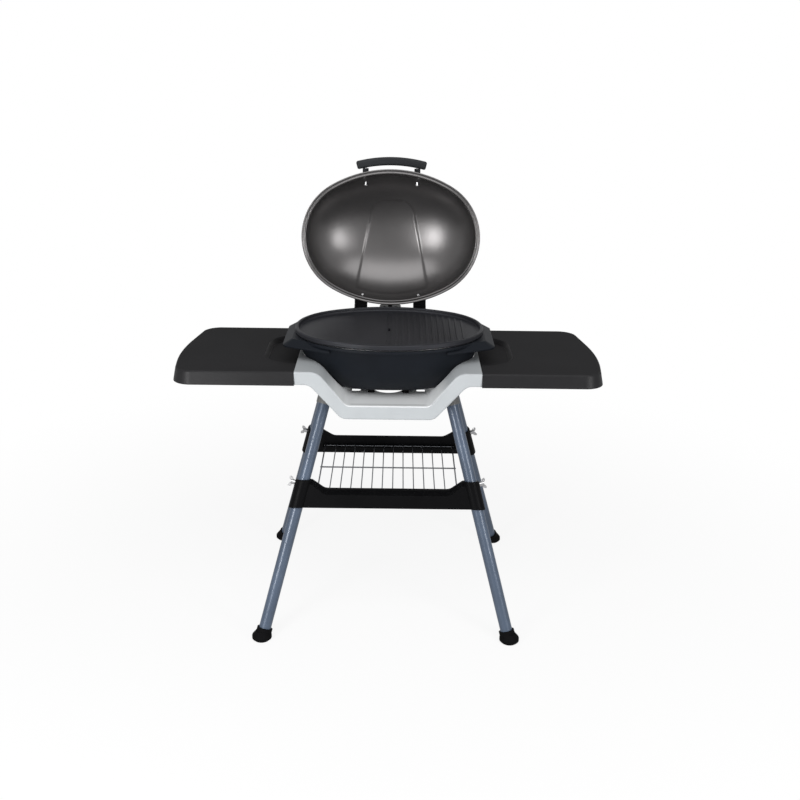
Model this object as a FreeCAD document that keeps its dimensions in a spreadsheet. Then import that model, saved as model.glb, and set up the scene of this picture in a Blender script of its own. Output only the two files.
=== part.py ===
"""Electric grill on a four-legged stand: oval bowl, hinged lid, side tables and wire shelf.

Millimetres, +Z up. The origin is on the floor under the middle of the stand, +X is the
right-hand side for a cook standing in front, and -Y is the front. The lid is drawn closed
in its own frame and then swung open by its placement.
"""
import FreeCAD, Part
import math
import os
import re

import Sketcher

Vector = FreeCAD.Vector
Rotation = FreeCAD.Rotation
Placement = FreeCAD.Placement

SIZES = {
    # legs and feet
    "leg_foot_x": 329,
    "leg_foot_y": 289,
    "leg_top_x": 161,
    "leg_top_y": 99.4,
    "leg_top_height": 632,
    "leg_diameter": 32,
    "leg_wall": 1.5,
    "leg_floor_gap": 14,
    "slip_gap": 0.15,
    "foot_radius": 26,
    "foot_height": 26,
    "foot_edge": 5,
    "foot_collar_radius": 20.5,
    "foot_collar_length": 31,
    # cradle
    "cradle_half_width": 237,
    "cradle_half_depth": 202,
    "table_height": 720,
    "skirt_height": 35,
    "cradle_floor": 631,
    "cradle_band": 37,
    "floor_half_width": 106,
    "shoulder_start": 178,
    "band_floor_half": 118,
    "band_shoulder_start": 200,
    "cradle_skin": 4,
    "cradle_wall": 6,
    "shoulder_round": 45,
    "floor_round": 20,
    "band_round": 30,
    "cradle_edge_round": 4,
    "seat_gap": 2,
    "floor_hole_radius": 86,
    "floor_slot_x": 90,
    "floor_slot_y": 72,
    "floor_slot_length": 33,
    "floor_slot_width": 24,
    "floor_slot_round": 6,
    "floor_nose_y": 58,
    "floor_nose_radius": 40,
    # leg brackets
    "bracket_radius": 21,
    "bracket_foot_height": 603,
    "bracket_top_height": 640,
    "bracket_web_x": 166,
    "bracket_web_thickness": 14,
    "bracket_flange_width": 32,
    "bracket_flange_thickness": 5,
    "bracket_flange_low": 667,
    "bracket_flange_high": 677,
    "bracket_screw_span": 22,
    # side tables
    "table_front_x": 544,
    "table_outer_x": 564,
    "table_rear_x": 528,
    "table_bulge_y": -30,
    "table_front": 207,
    "table_rear": 204,
    "table_front_round": 50,
    "table_rear_round": 56,
    "table_side_round": 700,
    "table_draft": 6,
    "table_skin": 4,
    "table_edge_round": 3,
    "scoop_reach": 319,
    "scoop_half_length": 122,
    "scoop_round": 76,
    "scoop_depth": 14,
    "scoop_slope": 9,
    "table_screw_y": 150,
    "table_screw_drop": 26,
    "table_screw_length": 20,
    "boss_radius": 6,
    "boss_length": 12,
    # shelf
    "front_bar_level": 339,
    "front_bar_height": 47,
    "front_lip_height": 51,
    "front_sleeve_height": 74,
    "rear_bar_level": 349,
    "rear_bar_height": 57,
    "rear_lip_height": 61,
    "rear_sleeve_height": 83,
    "bar_thickness": 24,
    "bar_slope": 13,
    "bar_lip_thickness": 6,
    "sleeve_radius": 21,
    "bar_dip_run": 34,
    "bar_dip_round": 26,
    "rack_level": 371.5,
    "ledge_reach": 13,
    "ledge_thickness": 6,
    "rod_diameter": 4,
    "wire_diameter": 3,
    "wire_pitch": 28,
    "wire_count": 12,
    "weld_depth": 0.4,
    "rack_half_width": 190,
    "rack_end_gap": 1,
    # wing screws
    "front_wing_height": 61,
    "rear_wing_height": 67,
    "wing_shank_radius": 3,
    "wing_hub_radius": 6.5,
    "wing_hub_length": 12,
    "wing_span": 17,
    "wing_thickness": 3,
    "wing_lift": 7,
    "running_gap": 0.06,
    "clear_gap": 0.4,
    # bowl
    "bowl_rim_height": 773,
    "bowl_bottom_height": 648,
    "bowl_wall": 3,
    "bowl_floor": 4,
    "bowl_lip_reach": 6,
    "bowl_lip_height": 7,
    "bowl_foot_x": 45,
    "bowl_foot_y": 90,
    "bowl_foot_radius": 9,
    "ear_reach": 276,
    "ear_half_width": 96,
    "ear_flare": 60,
    "ear_root_x": 150,
    "ear_corner_round": 24,
    "ear_top_drop": 1,
    "ear_slope_run": 24,
    "ear_slope_drop": 14,
    "ear_thickness": 5,
    "ear_edge_round": 2,
    "socket_half_width": 34,
    "socket_height": 38,
    # liner and drip tray
    "liner_gap": 6,
    "liner_wall": 1,
    "liner_flange_reach": 244,
    "liner_bottom_height": 660,
    "tray_half_length": 120,
    "tray_half_width": 75,
    "tray_end_radius": 70,
    "tray_height": 14,
    "tray_wall": 1.2,
    # grill plate
    "plate_half_length": 250,
    "plate_half_width": 192,
    "plate_end_radius": 169,
    "plate_rim_height": 14,
    "plate_rim_width": 9,
    "plate_base_inset": 20,
    "plate_base_drop": 8,
    "plate_floor_rise": 3,
    "plate_rim_round": 3,
    "plate_skirt_round": 3.5,
    "plate_floor_round": 5,
    "channel_half_width": 6,
    "channel_depth": 2,
    "channel_half_length": 160,
    "drain_half_length": 14,
    "drain_half_width": 3,
    "rib_pitch": 16,
    "rib_width": 6,
    "rib_height": 2.4,
    "rib_margin": 14,
    "rib_count": 13,
    # heating element
    "element_radius": 3.5,
    "element_half_x": 150,
    "element_front": 112,
    "element_rear": 118,
    "element_bend": 45,
    "terminal_bend": 12,
    "terminal_x": 14,
    "terminal_end": 184,
    "clip_size": 14,
    "clip_wall": 2.5,
    "clip_front_x": 70,
    "block_front": 138,
    "block_depth": 18,
    "block_half_width": 26,
    "block_height": 26,
    "probe_drop": 19,
    "probe_radius": 3,
    # hinge
    "hinge_y": 203,
    "hinge_height": 774,
    "hinge_inner_x": 66,
    "hinge_outer_x": 102,
    "hinge_split_x": 84,
    "knuckle_gap": 0.5,
    "knuckle_radius": 7,
    "pin_radius": 3,
    "pin_head_radius": 4.6,
    "pin_head_length": 3,
    "base_pad_low": 738,
    "base_pad_high": 762,
    "base_pad_face": 187,
    "hinge_screw_radius": 2,
    "hinge_screw_head": 4,
    "base_screw_height": 748,
    "leaf_low_clear": 10,
    "leaf_screw_height": 803,
    "leaf_top_height": 826,
    "leaf_face_y": 209,
    "leaf_clear_y": 190,
    "leaf_top_y": 184,
    "leaf_shelf_height": 797,
    # lid
    "lid_open_angle": 91.8,
    "lid_rim_height": 789,
    "lid_half_length": 251,
    "lid_half_width": 191,
    "lid_end_radius": 169,
    "lid_flange_width": 12,
    "lid_flange_height": 3.5,
    "lid_wall": 1.5,
    "lid_depth": 122,
    # lid handle
    "handle_height": 845,
    "handle_post_x": 72.5,
    "handle_post_radius": 8.5,
    "grip_half_length": 100,
    "grip_reach": 218.5,
    "grip_thickness": 22.5,
    "grip_depth": 18,
    "grip_rise": 13,
    "grip_edge_round": 5,
    "handle_screw_radius": 2.4,
    "handle_screw_head": 5,
    "screw_head_height": 2.6,
    # plug-in control
    "control_front": 196,
    "control_length": 92,
    "control_half_width": 31,
    "control_half_height": 19,
    "control_drop": 21.5,
    "control_wall": 2.2,
    "control_round": 9,
    "contact_radius": 5.2,
    "contact_length": 20,
    "probe_length": 62,
    "lamp_radius": 4,
    "lamp_inset": 14,
    "gland_radius": 7,
    "gland_length": 9,
    "gland_bore": 3.6,
    "knob_radius": 20,
    "knob_height": 13,
    "knob_inset": 56,
    "knob_shaft_radius": 3,
    "knob_round": 2.5,
}

BOWL_SECTIONS = ("rim", "upper", "middle", "lower", "bottom")
BOWL_SIZES = {
    # height share from bottom to rim is worked out below; half length, half width, end radius
    "bowl_rim_length": 246, "bowl_rim_width": 190, "bowl_rim_radius": 167,
    "bowl_upper_height": 720, "bowl_upper_length": 231, "bowl_upper_width": 177, "bowl_upper_radius": 155,
    "bowl_middle_height": 690, "bowl_middle_length": 216, "bowl_middle_width": 164, "bowl_middle_radius": 145,
    "bowl_lower_height": 666, "bowl_lower_length": 197, "bowl_lower_width": 146, "bowl_lower_radius": 134,
    "bowl_bottom_length": 176, "bowl_bottom_width": 126, "bowl_bottom_radius": 120,
}
SIZES.update(BOWL_SIZES)

doc = FreeCAD.newDocument("electric_grill")
sheet = doc.addObject("Spreadsheet::Sheet", "dims")
for row, (alias, number) in enumerate(SIZES.items(), start=1):
    sheet.set(f"A{row}", alias.replace("_", " "))
    sheet.set(f"B{row}", str(number))
    sheet.setAlias(f"B{row}", alias)
doc.recompute()

nodes = []
SIDES = {"left": -1, "right": 1}
ENDS = {"front": -1, "rear": 1}
UP = Vector(0, 0, 1)


def bound(formula):
    """Point every size name in a formula at its cell in the sheet."""
    def cell(word):
        return f"dims.{word[0]}" if word[0] in SIZES else word[0]
    return re.sub(r"[a-z][a-z_0-9]*", cell, str(formula))


def measure(formula):
    """The number that a formula of size names stands for."""
    return float(sheet.evalExpression(bound(formula)))


def point(x, y, z):
    return Vector(measure(x), measure(y), measure(z))


def keep(item, label):
    """List a finished piece under the name of its file."""
    item.Label = label
    nodes.append(item)
    return item


def new_body(name):
    return doc.addObject("PartDesign::Body", name)


def new_sketch(body, plane, lift="0"):
    """A sketch on one of the body's own planes, lifted along the plane's normal."""
    sketch = body.newObject("Sketcher::SketchObject", "sketch")
    origin_plane = next(f for f in body.Origin.OriginFeatures if f.Role == plane)
    sketch.AttachmentSupport = (origin_plane, [""])
    sketch.MapMode = "FlatFace"
    sketch.setExpression(".AttachmentOffset.Base.z", bound(lift))
    return sketch


def dimension(sketch, kind, formula, *places):
    """Add one dimension to a sketch and bind it to a formula."""
    index = sketch.addConstraint(Sketcher.Constraint(kind, *places, measure(formula)))
    name = f"size_{index}"
    sketch.renameConstraint(index, name)
    sketch.setExpression(f"Constraints.{name}", bound(formula))


def place_point(sketch, geometry, position, x, y):
    dimension(sketch, "DistanceX", x, -1, 1, geometry, position)
    dimension(sketch, "DistanceY", y, -1, 1, geometry, position)


def draw_circle(sketch, x, y, radius):
    circle = Part.Circle(point(x, y, 0), UP, measure(radius))
    index = sketch.addGeometry(circle)
    place_point(sketch, index, 3, x, y)
    dimension(sketch, "Radius", radius, index)


def draw_outline(sketch, corners):
    """Draw a closed outline; a corner is (x, y) or (x, y, radius) in formulas."""
    count = len(corners)
    spots = [point(corner[0], corner[1], 0) for corner in corners]
    radii = [measure(corner[2]) if len(corner) > 2 else 0.0 for corner in corners]
    enters, leaves, turns, halves = [], [], [], []
    for i, spot in enumerate(spots):
        back = (spots[i - 1] - spot).normalize()
        ahead = (spots[(i + 1) % count] - spot).normalize()
        half = back.getAngle(ahead) / 2
        reach = radii[i] / math.tan(half)
        enters.append(spot + back * reach)
        leaves.append(spot + ahead * reach)
        turns.append(back.cross(ahead).z)
        halves.append(half)
    lines = []
    for i in range(count):
        lines.append(sketch.addGeometry(Part.LineSegment(leaves[i], enters[(i + 1) % count])))
    for i, corner in enumerate(corners):
        before = lines[i - 1]
        after = lines[i]
        if radii[i] == 0:
            sketch.addConstraint(Sketcher.Constraint("Coincident", before, 2, after, 1))
            place_point(sketch, after, 1, corner[0], corner[1])
            continue
        inward = ((enters[i] + leaves[i]) * 0.5 - spots[i]).normalize()
        center = spots[i] + inward * (radii[i] / math.sin(halves[i]))
        from_spot, to_spot = (enters[i], leaves[i]) if turns[i] < 0 else (leaves[i], enters[i])
        arc = Part.ArcOfCircle(
            Part.Circle(center, UP, radii[i]),
            math.atan2(from_spot.y - center.y, from_spot.x - center.x),
            math.atan2(to_spot.y - center.y, to_spot.x - center.x),
        )
        bend = sketch.addGeometry(arc)
        first, last = (1, 2) if turns[i] < 0 else (2, 1)
        sketch.addConstraint(Sketcher.Constraint("Tangent", before, 2, bend, first))
        sketch.addConstraint(Sketcher.Constraint("Tangent", bend, last, after, 1))
        dimension(sketch, "Radius", corner[2], bend)
        mark = sketch.addGeometry(Part.Point(spots[i]), True)
        sketch.addConstraint(Sketcher.Constraint("PointOnObject", mark, 1, before))
        sketch.addConstraint(Sketcher.Constraint("PointOnObject", mark, 1, after))
        place_point(sketch, mark, 1, corner[0], corner[1])


def draw_oval(sketch, half_length, half_width, end_radius):
    """Draw a four-arc oval: two end arcs and two flatter side arcs that meet smoothly."""
    run = f"(({half_length}) - ({end_radius}))"
    side = f"(({run}^2 + ({half_width})^2 - ({end_radius})^2) / (2 * (({half_width}) - ({end_radius}))))"
    drop = f"({side} - ({half_width}))"
    join_x = f"({side} * {run} / ({side} - ({end_radius})))"
    join_y = f"({drop} * ({end_radius}) / ({side} - ({end_radius})))"
    lean = math.atan2(measure(join_y), measure(join_x) - measure(run))
    arcs = [
        (run, "0", end_radius, -lean, lean),
        ("0", f"-{drop}", side, lean, math.pi - lean),
        (f"-{run}", "0", end_radius, math.pi - lean, math.pi + lean),
        ("0", drop, side, math.pi + lean, 2 * math.pi - lean),
    ]
    signs = [(1, -1), (1, 1), (-1, 1), (-1, -1), (1, -1)]
    for i, (x, y, radius, start, end) in enumerate(arcs):
        circle = Part.Circle(point(x, y, 0), UP, measure(radius))
        index = sketch.addGeometry(Part.ArcOfCircle(circle, start, end))
        place_point(sketch, index, 3, x, y)
        dimension(sketch, "Radius", radius, index)
        for position, (sign_x, sign_y) in ((1, signs[i]), (2, signs[i + 1])):
            if i % 2 == 0:
                dimension(sketch, "DistanceY", f"{sign_y} * {join_y}", -1, 1, index, position)
            else:
                dimension(sketch, "DistanceX", f"{sign_x} * {join_x}", -1, 1, index, position)


def extrude(body, kind, sketch, length, reverse=False):
    """Pad or pocket a sketch; a pad follows the sketch's normal, a pocket goes against it."""
    feature = body.newObject(f"PartDesign::{kind}", kind.lower())
    feature.Profile = sketch
    feature.setExpression("Length", bound(length))
    feature.Reversed = reverse
    return feature


def oval_sketch(body, height, half_length, half_width, end_radius):
    sketch = new_sketch(body, "XY_Plane", height)
    draw_oval(sketch, half_length, half_width, end_radius)
    return sketch


def pad_oval(body, low, high, half_length, half_width, end_radius):
    sketch = oval_sketch(body, low, half_length, half_width, end_radius)
    return extrude(body, "Pad", sketch, f"({high}) - ({low})")


def pocket_oval(body, high, low, half_length, half_width, end_radius):
    sketch = oval_sketch(body, high, half_length, half_width, end_radius)
    return extrude(body, "Pocket", sketch, f"({high}) - ({low})")


def loft(body, kind, sketches, ruled=False):
    feature = body.newObject(f"PartDesign::{kind}", kind.lower())
    feature.Profile = sketches[0]
    feature.Sections = sketches[1:]
    feature.Ruled = ruled
    return feature


def turn_to(direction):
    return Rotation(UP, direction)


def add_cylinder(body, kind, base, direction, radius, height):
    """Add or cut a cylinder that starts at base and runs along direction."""
    feature = body.newObject(f"PartDesign::{kind}Cylinder", f"{kind.lower()}_cylinder")
    feature.setExpression("Radius", bound(radius))
    feature.setExpression("Height", bound(height))
    feature.Placement = Placement(base, turn_to(direction))
    return feature


def add_box(body, kind, low, high):
    """Add or cut a box between two corners given in formulas."""
    feature = body.newObject(f"PartDesign::{kind}Box", f"{kind.lower()}_box")
    for name, start, end in zip(("Length", "Width", "Height"), low, high):
        feature.setExpression(name, bound(f"({end}) - ({start})"))
    for axis, start in zip("xyz", low):
        feature.setExpression(f".Placement.Base.{axis}", bound(start))
    return feature


def dress(body, kind, edge_test, size):
    """Fillet or chamfer the edges of the body's last feature that pass a test."""
    doc.recompute()
    base = body.Tip
    names = [f"Edge{i}" for i, edge in enumerate(base.Shape.Edges, start=1) if edge_test(edge)]
    feature = body.newObject(f"PartDesign::{kind}", kind.lower())
    feature.Base = (base, names)
    feature.setExpression("Radius" if kind == "Fillet" else "Size", bound(size))
    return feature


def level(edge, height):
    """True for an edge that lies flat at one height."""
    box = edge.BoundBox
    return abs(box.ZMin - height) < 0.01 and abs(box.ZMax - height) < 0.01


def cylinder(base, direction, radius, height):
    """A loose round bar that a group or a boolean takes in."""
    item = doc.addObject("Part::Cylinder", "round")
    item.setExpression("Radius", bound(radius))
    item.setExpression("Height", bound(height))
    item.Placement = Placement(base, turn_to(direction))
    return item


def combine(kind, items, name):
    result = doc.addObject(f"Part::{kind}", name)
    if kind == "Compound":
        result.Links = items
    else:
        result.Shapes = items
    return result


def subtract(base, tool):
    result = doc.addObject("Part::Cut", "cut")
    result.Base = base
    result.Tool = tool
    return result


def screw(seat, inward, head_radius, shank_radius, shank_length):
    """A round-headed screw: the head stands off the seat, the shank goes in."""
    head = cylinder(seat, inward * -1, head_radius, "screw_head_height")
    shank = cylinder(seat, inward, shank_radius, shank_length)
    return combine("MultiFuse", [head, shank], "screw")


def leg_foot(side, end):
    return point(f"{side} * leg_foot_x", f"{end} * leg_foot_y", 0)


def leg_direction(side, end):
    top = point(f"{side} * leg_top_x", f"{end} * leg_top_y", "leg_top_height")
    return (top - leg_foot(side, end)).normalize()


def leg_at(side, end, height):
    """The point of a leg's centreline at a height."""
    direction = leg_direction(side, end)
    return leg_foot(side, end) + direction * (measure(height) / direction.z)


LEG_RISE = "sqrt((leg_foot_x - leg_top_x)^2 + (leg_foot_y - leg_top_y)^2 + leg_top_height^2)"


def make_leg(side, end):
    body = new_body("leg")
    sketch = new_sketch(body, "XY_Plane")
    draw_circle(sketch, "0", "0", "leg_diameter / 2")
    draw_circle(sketch, "0", "0", "leg_diameter / 2 - leg_wall")
    extrude(body, "Pad", sketch, f"{LEG_RISE} - leg_floor_gap")
    direction = leg_direction(side, end)
    start = leg_foot(side, end) + direction * measure("leg_floor_gap")
    body.Placement = Placement(start, turn_to(direction))
    return body


def make_foot(side, end):
    """A rubber boot with a level sole and a collar that follows the leaning tube."""
    body = new_body("foot")
    sketch = new_sketch(body, "XZ_Plane")
    draw_outline(sketch, [
        ("0", "0"),
        ("foot_radius - foot_edge", "0"),
        ("foot_radius", "foot_edge"),
        ("foot_radius", "foot_height / 2", "foot_edge"),
        ("foot_collar_radius - foot_edge", "foot_height"),
        ("0", "foot_height"),
    ])
    turned = body.newObject("PartDesign::Revolution", "revolution")
    turned.Profile = sketch
    turned.ReferenceAxis = (sketch, ["V_Axis"])
    turned.Angle = 360
    direction = leg_direction(side, end)
    base = direction * measure("leg_floor_gap")
    add_cylinder(body, "Additive", base, direction, "foot_collar_radius",
                 "foot_collar_length - leg_floor_gap")
    add_cylinder(body, "Subtractive", base, direction, "leg_diameter / 2 + slip_gap", "foot_collar_length")
    body.Placement = Placement(leg_foot(side, end), Rotation())
    return body


SKIRT_LOW = "(table_height - skirt_height)"
BAND_LOW = "(cradle_floor - cradle_band)"
SLOPE = "atan((table_height - cradle_floor) / (shoulder_start - floor_half_width))"
MITRE = f"(cradle_skin * tan({SLOPE} / 2))"
WALL_FACE = "(cradle_half_depth - cradle_wall)"


def make_cradle():
    """The pale saddle that carries the bowl: a U-shaped skin with deep front and rear bands."""
    body = new_body("cradle")
    sketch = new_sketch(body, "XZ_Plane", "cradle_half_depth")
    upper = [
        ("cradle_half_width", "table_height"),
        ("shoulder_start", "table_height", "shoulder_round"),
        ("floor_half_width", "cradle_floor", "floor_round"),
    ]
    lower = [
        ("band_floor_half", BAND_LOW, "band_round"),
        ("band_shoulder_start", SKIRT_LOW, "band_round"),
        ("cradle_half_width", SKIRT_LOW),
    ]
    mirrored = [[(f"-{c[0]}", *c[1:]) for c in half] for half in (upper, lower)]
    draw_outline(sketch, upper + mirrored[0][::-1] + mirrored[1][::-1] + lower)
    extrude(body, "Pad", sketch, "2 * cradle_half_depth", reverse=True)
    dress(body, "Fillet", on_band_face, "cradle_edge_round")
    hollow = new_sketch(body, "XZ_Plane", WALL_FACE)
    roof = [
        ("cradle_half_width - cradle_skin", "table_height - cradle_skin"),
        (f"shoulder_start + {MITRE}", "table_height - cradle_skin", "shoulder_round - cradle_skin"),
        (f"floor_half_width + {MITRE}", "cradle_floor - cradle_skin", "floor_round + cradle_skin"),
    ]
    below = ("cradle_half_width - cradle_skin", f"{BAND_LOW} - cradle_band")
    left = [(f"-({c[0]})", *c[1:]) for c in roof]
    draw_outline(hollow, roof + left[::-1] + [(f"-({below[0]})", below[1]), below])
    extrude(body, "Pocket", hollow, f"2 * {WALL_FACE}")
    bowl_loft(body, "SubtractiveLoft", "seat_gap", "bowl_bottom_height - seat_gap")
    for end in ENDS.values():
        nose = new_sketch(body, "XY_Plane", "cradle_floor")
        draw_circle(nose, "0", f"{end} * floor_nose_y", "floor_nose_radius")
        extrude(body, "Pocket", nose, "cradle_band")
    vents = new_sketch(body, "XY_Plane", "cradle_floor")
    draw_circle(vents, "0", "0", "floor_hole_radius")
    for side in SIDES.values():
        for end in ENDS.values():
            x = f"{side} * floor_slot_x"
            y = f"{end} * floor_slot_y"
            corners = []
            for across, along in ((-1, -1), (1, -1), (1, 1), (-1, 1)):
                corner_x = f"{x} + {across} * floor_slot_length / 2"
                corner_y = f"{y} + {along} * floor_slot_width / 2"
                corners.append((corner_x, corner_y, "floor_slot_round"))
            draw_outline(vents, corners)
    extrude(body, "Pocket", vents, "cradle_band")
    for side in SIDES.values():
        for seat in table_screw_seats(side):
            add_cylinder(body, "Subtractive", seat, Vector(side, 0, 0), "hinge_screw_radius + slip_gap",
                         "cradle_skin")
    for side in SIDES.values():
        for end in ENDS.values():
            for seat in bracket_screw_seats(side, end):
                add_cylinder(body, "Subtractive", seat, Vector(0, end, 0), "hinge_screw_radius + slip_gap",
                             "bracket_flange_thickness + cradle_wall / 2")
    return body


def on_band_face(edge):
    """True for the long edges round the front and rear faces of the cradle, not its upright ends."""
    flush = all(abs(abs(v.Y) - measure("cradle_half_depth")) < 0.01 for v in edge.Vertexes)
    return flush and min(abs(v.X) for v in edge.Vertexes) < measure("cradle_half_width") - 0.01


def table_screw_seats(side):
    """Where the screw heads bear on the inside of the cradle's side wall."""
    height = "table_height - table_screw_drop"
    spots = ("-table_screw_y", "0", "table_screw_y")
    return [point(f"{side} * (cradle_half_width - cradle_skin)", y, height) for y in spots]


def bracket_screw_seats(side, end):
    height = "(bracket_flange_low + bracket_flange_high) / 2"
    depth = f"{end} * ({WALL_FACE} - bracket_flange_thickness)"
    return [point(f"{side} * (bracket_web_x + {k} * bracket_screw_span / 2)", depth, height) for k in (-1, 1)]


def make_bracket(side, end):
    """A leg bracket: a flange on the cradle's band, a web and a socket for the tube."""
    body = new_body("bracket")
    sketch = new_sketch(body, "YZ_Plane", f"{side} * bracket_web_x - bracket_web_thickness / 2")
    socket_y = f"{end} * leg_top_y"
    wall = f"{end} * {WALL_FACE}"
    corners = [
        (socket_y, "bracket_foot_height"),
        (socket_y, "bracket_top_height"),
        (f"{end} * ({WALL_FACE} - bracket_flange_thickness)", "bracket_flange_high"),
        (wall, "bracket_flange_high"),
        (wall, "bracket_flange_low"),
    ]
    draw_outline(sketch, corners)
    extrude(body, "Pad", sketch, "bracket_web_thickness")
    flange_x = (f"{side} * bracket_web_x - bracket_flange_width / 2",
                f"{side} * bracket_web_x + bracket_flange_width / 2")
    inner = f"{end} * ({WALL_FACE} - bracket_flange_thickness)"
    low_y, high_y = (wall, inner) if end < 0 else (inner, wall)
    add_box(body, "Additive", (flange_x[0], low_y, "bracket_flange_low"),
            (flange_x[1], high_y, "bracket_flange_high"))
    direction = leg_direction(side, end)
    start = leg_at(side, end, "bracket_foot_height")
    rise = f"(bracket_top_height - bracket_foot_height) / {direction.z}"
    add_cylinder(body, "Additive", start, direction, "bracket_radius", rise)
    bore = leg_at(side, end, "bracket_foot_height - leg_diameter")
    depth = f"(leg_top_height - bracket_foot_height + leg_diameter) / {direction.z}"
    add_cylinder(body, "Subtractive", bore, direction, "leg_diameter / 2 + slip_gap", depth)
    for seat in bracket_screw_seats(side, end):
        add_cylinder(body, "Subtractive", seat, Vector(0, end, 0), "hinge_screw_radius + slip_gap",
                     "bracket_flange_thickness")
    return body


def make_bracket_screws():
    screws = []
    for side in SIDES.values():
        for end in ENDS.values():
            for seat in bracket_screw_seats(side, end):
                screws.append(screw(seat, Vector(0, end, 0), "hinge_screw_head", "hinge_screw_radius",
                                    "bracket_flange_thickness + cradle_wall / 2"))
    return combine("Compound", screws, "bracket_screws")


def make_table(side):
    """A side table: a thin moulded tray turned over, with a finger scoop beside the bowl."""
    body = new_body("table")
    inner = f"{side} * cradle_half_width"

    def edge(inner_inset, outer_inset):
        near = f"{side} * (cradle_half_width + {inner_inset})"
        front = f"-(table_front - {outer_inset})"
        rear = f"(table_rear - {outer_inset})"
        return [
            (near, front),
            (f"{side} * (table_front_x - {outer_inset})", front, f"table_front_round - {outer_inset}"),
            (f"{side} * (table_outer_x - {outer_inset})", "table_bulge_y", "table_side_round"),
            (f"{side} * (table_rear_x - {outer_inset})", rear, f"table_rear_round - {outer_inset}"),
            (near, rear),
        ]

    levels = []
    rim_steps = (
        (SKIRT_LOW, "0"),
        ("table_height - table_edge_round", "table_draft"),
        ("table_height", "(table_draft + table_edge_round)"),
    )
    for height, inset in rim_steps:
        sketch = new_sketch(body, "XY_Plane", height)
        draw_outline(sketch, edge("0", inset))
        levels.append(sketch)
    loft(body, "AdditiveLoft", levels, ruled=True)
    hollow = new_sketch(body, "XY_Plane", SKIRT_LOW)
    draw_outline(hollow, edge("table_skin", "(table_skin + table_draft)"))
    extrude(body, "Pocket", hollow, "skirt_height - table_skin", reverse=True)

    def scoop(grow, start):
        reach = f"{side} * (scoop_reach + {grow})"
        length = f"(scoop_half_length + {grow})"
        round_off = f"scoop_round + {grow}"
        return [(start, f"-{length}"), (reach, f"-{length}", round_off),
                (reach, length, round_off), (start, length)]

    tub = new_sketch(body, "XY_Plane", "table_height - scoop_depth - table_skin")
    draw_outline(tub, scoop("(table_skin + scoop_slope)", inner))
    extrude(body, "Pad", tub, "scoop_depth + table_skin / 2")
    start = f"{side} * (cradle_half_width - table_skin)"
    dish = []
    for height, grow in (("table_height", "scoop_slope"), ("table_height - scoop_depth", "0")):
        sketch = new_sketch(body, "XY_Plane", height)
        draw_outline(sketch, scoop(grow, start))
        dish.append(sketch)
    loft(body, "SubtractiveLoft", dish, ruled=True)
    outward = Vector(side, 0, 0)
    for seat in table_screw_seats(side):
        wall = seat + outward * measure("cradle_skin + table_skin")
        add_cylinder(body, "Additive", wall, outward, "boss_radius", "boss_length")
        add_cylinder(body, "Subtractive", seat, outward, "hinge_screw_radius + slip_gap",
                     "table_screw_length")
    return body


def make_table_screws():
    screws = []
    for side in SIDES.values():
        for seat in table_screw_seats(side):
            screws.append(screw(seat, Vector(side, 0, 0), "hinge_screw_head", "hinge_screw_radius",
                                "table_screw_length - clear_gap"))
    return combine("Compound", screws, "table_screws")


LEAN_X = "((leg_foot_x - leg_top_x) / leg_top_height)"
LEAN_Y = "((leg_foot_y - leg_top_y) / leg_top_height)"
TILT = f"atan({LEAN_Y})"
BAR_LEAN = f"({LEAN_X} * cos({TILT}))"
END_NAMES = {-1: "front", 1: "rear"}


def bar_x(end):
    """Half the distance between the two legs' centres at the foot of a bar."""
    return f"(leg_foot_x - {LEAN_X} * {END_NAMES[end]}_bar_level)"


def bar_placement(end):
    """A bar lies in the leaning plane of its two legs; the rear bar is turned about."""
    level_name = f"{END_NAMES[end]}_bar_level"
    turn = Rotation(UP, 0 if end < 0 else 180)
    tilt = Rotation(Vector(1, 0, 0), -measure(TILT))
    depth = f"{end} * (leg_foot_y - {LEAN_Y} * {level_name})"
    return Placement(point("0", depth, level_name), turn.multiply(tilt))


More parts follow.
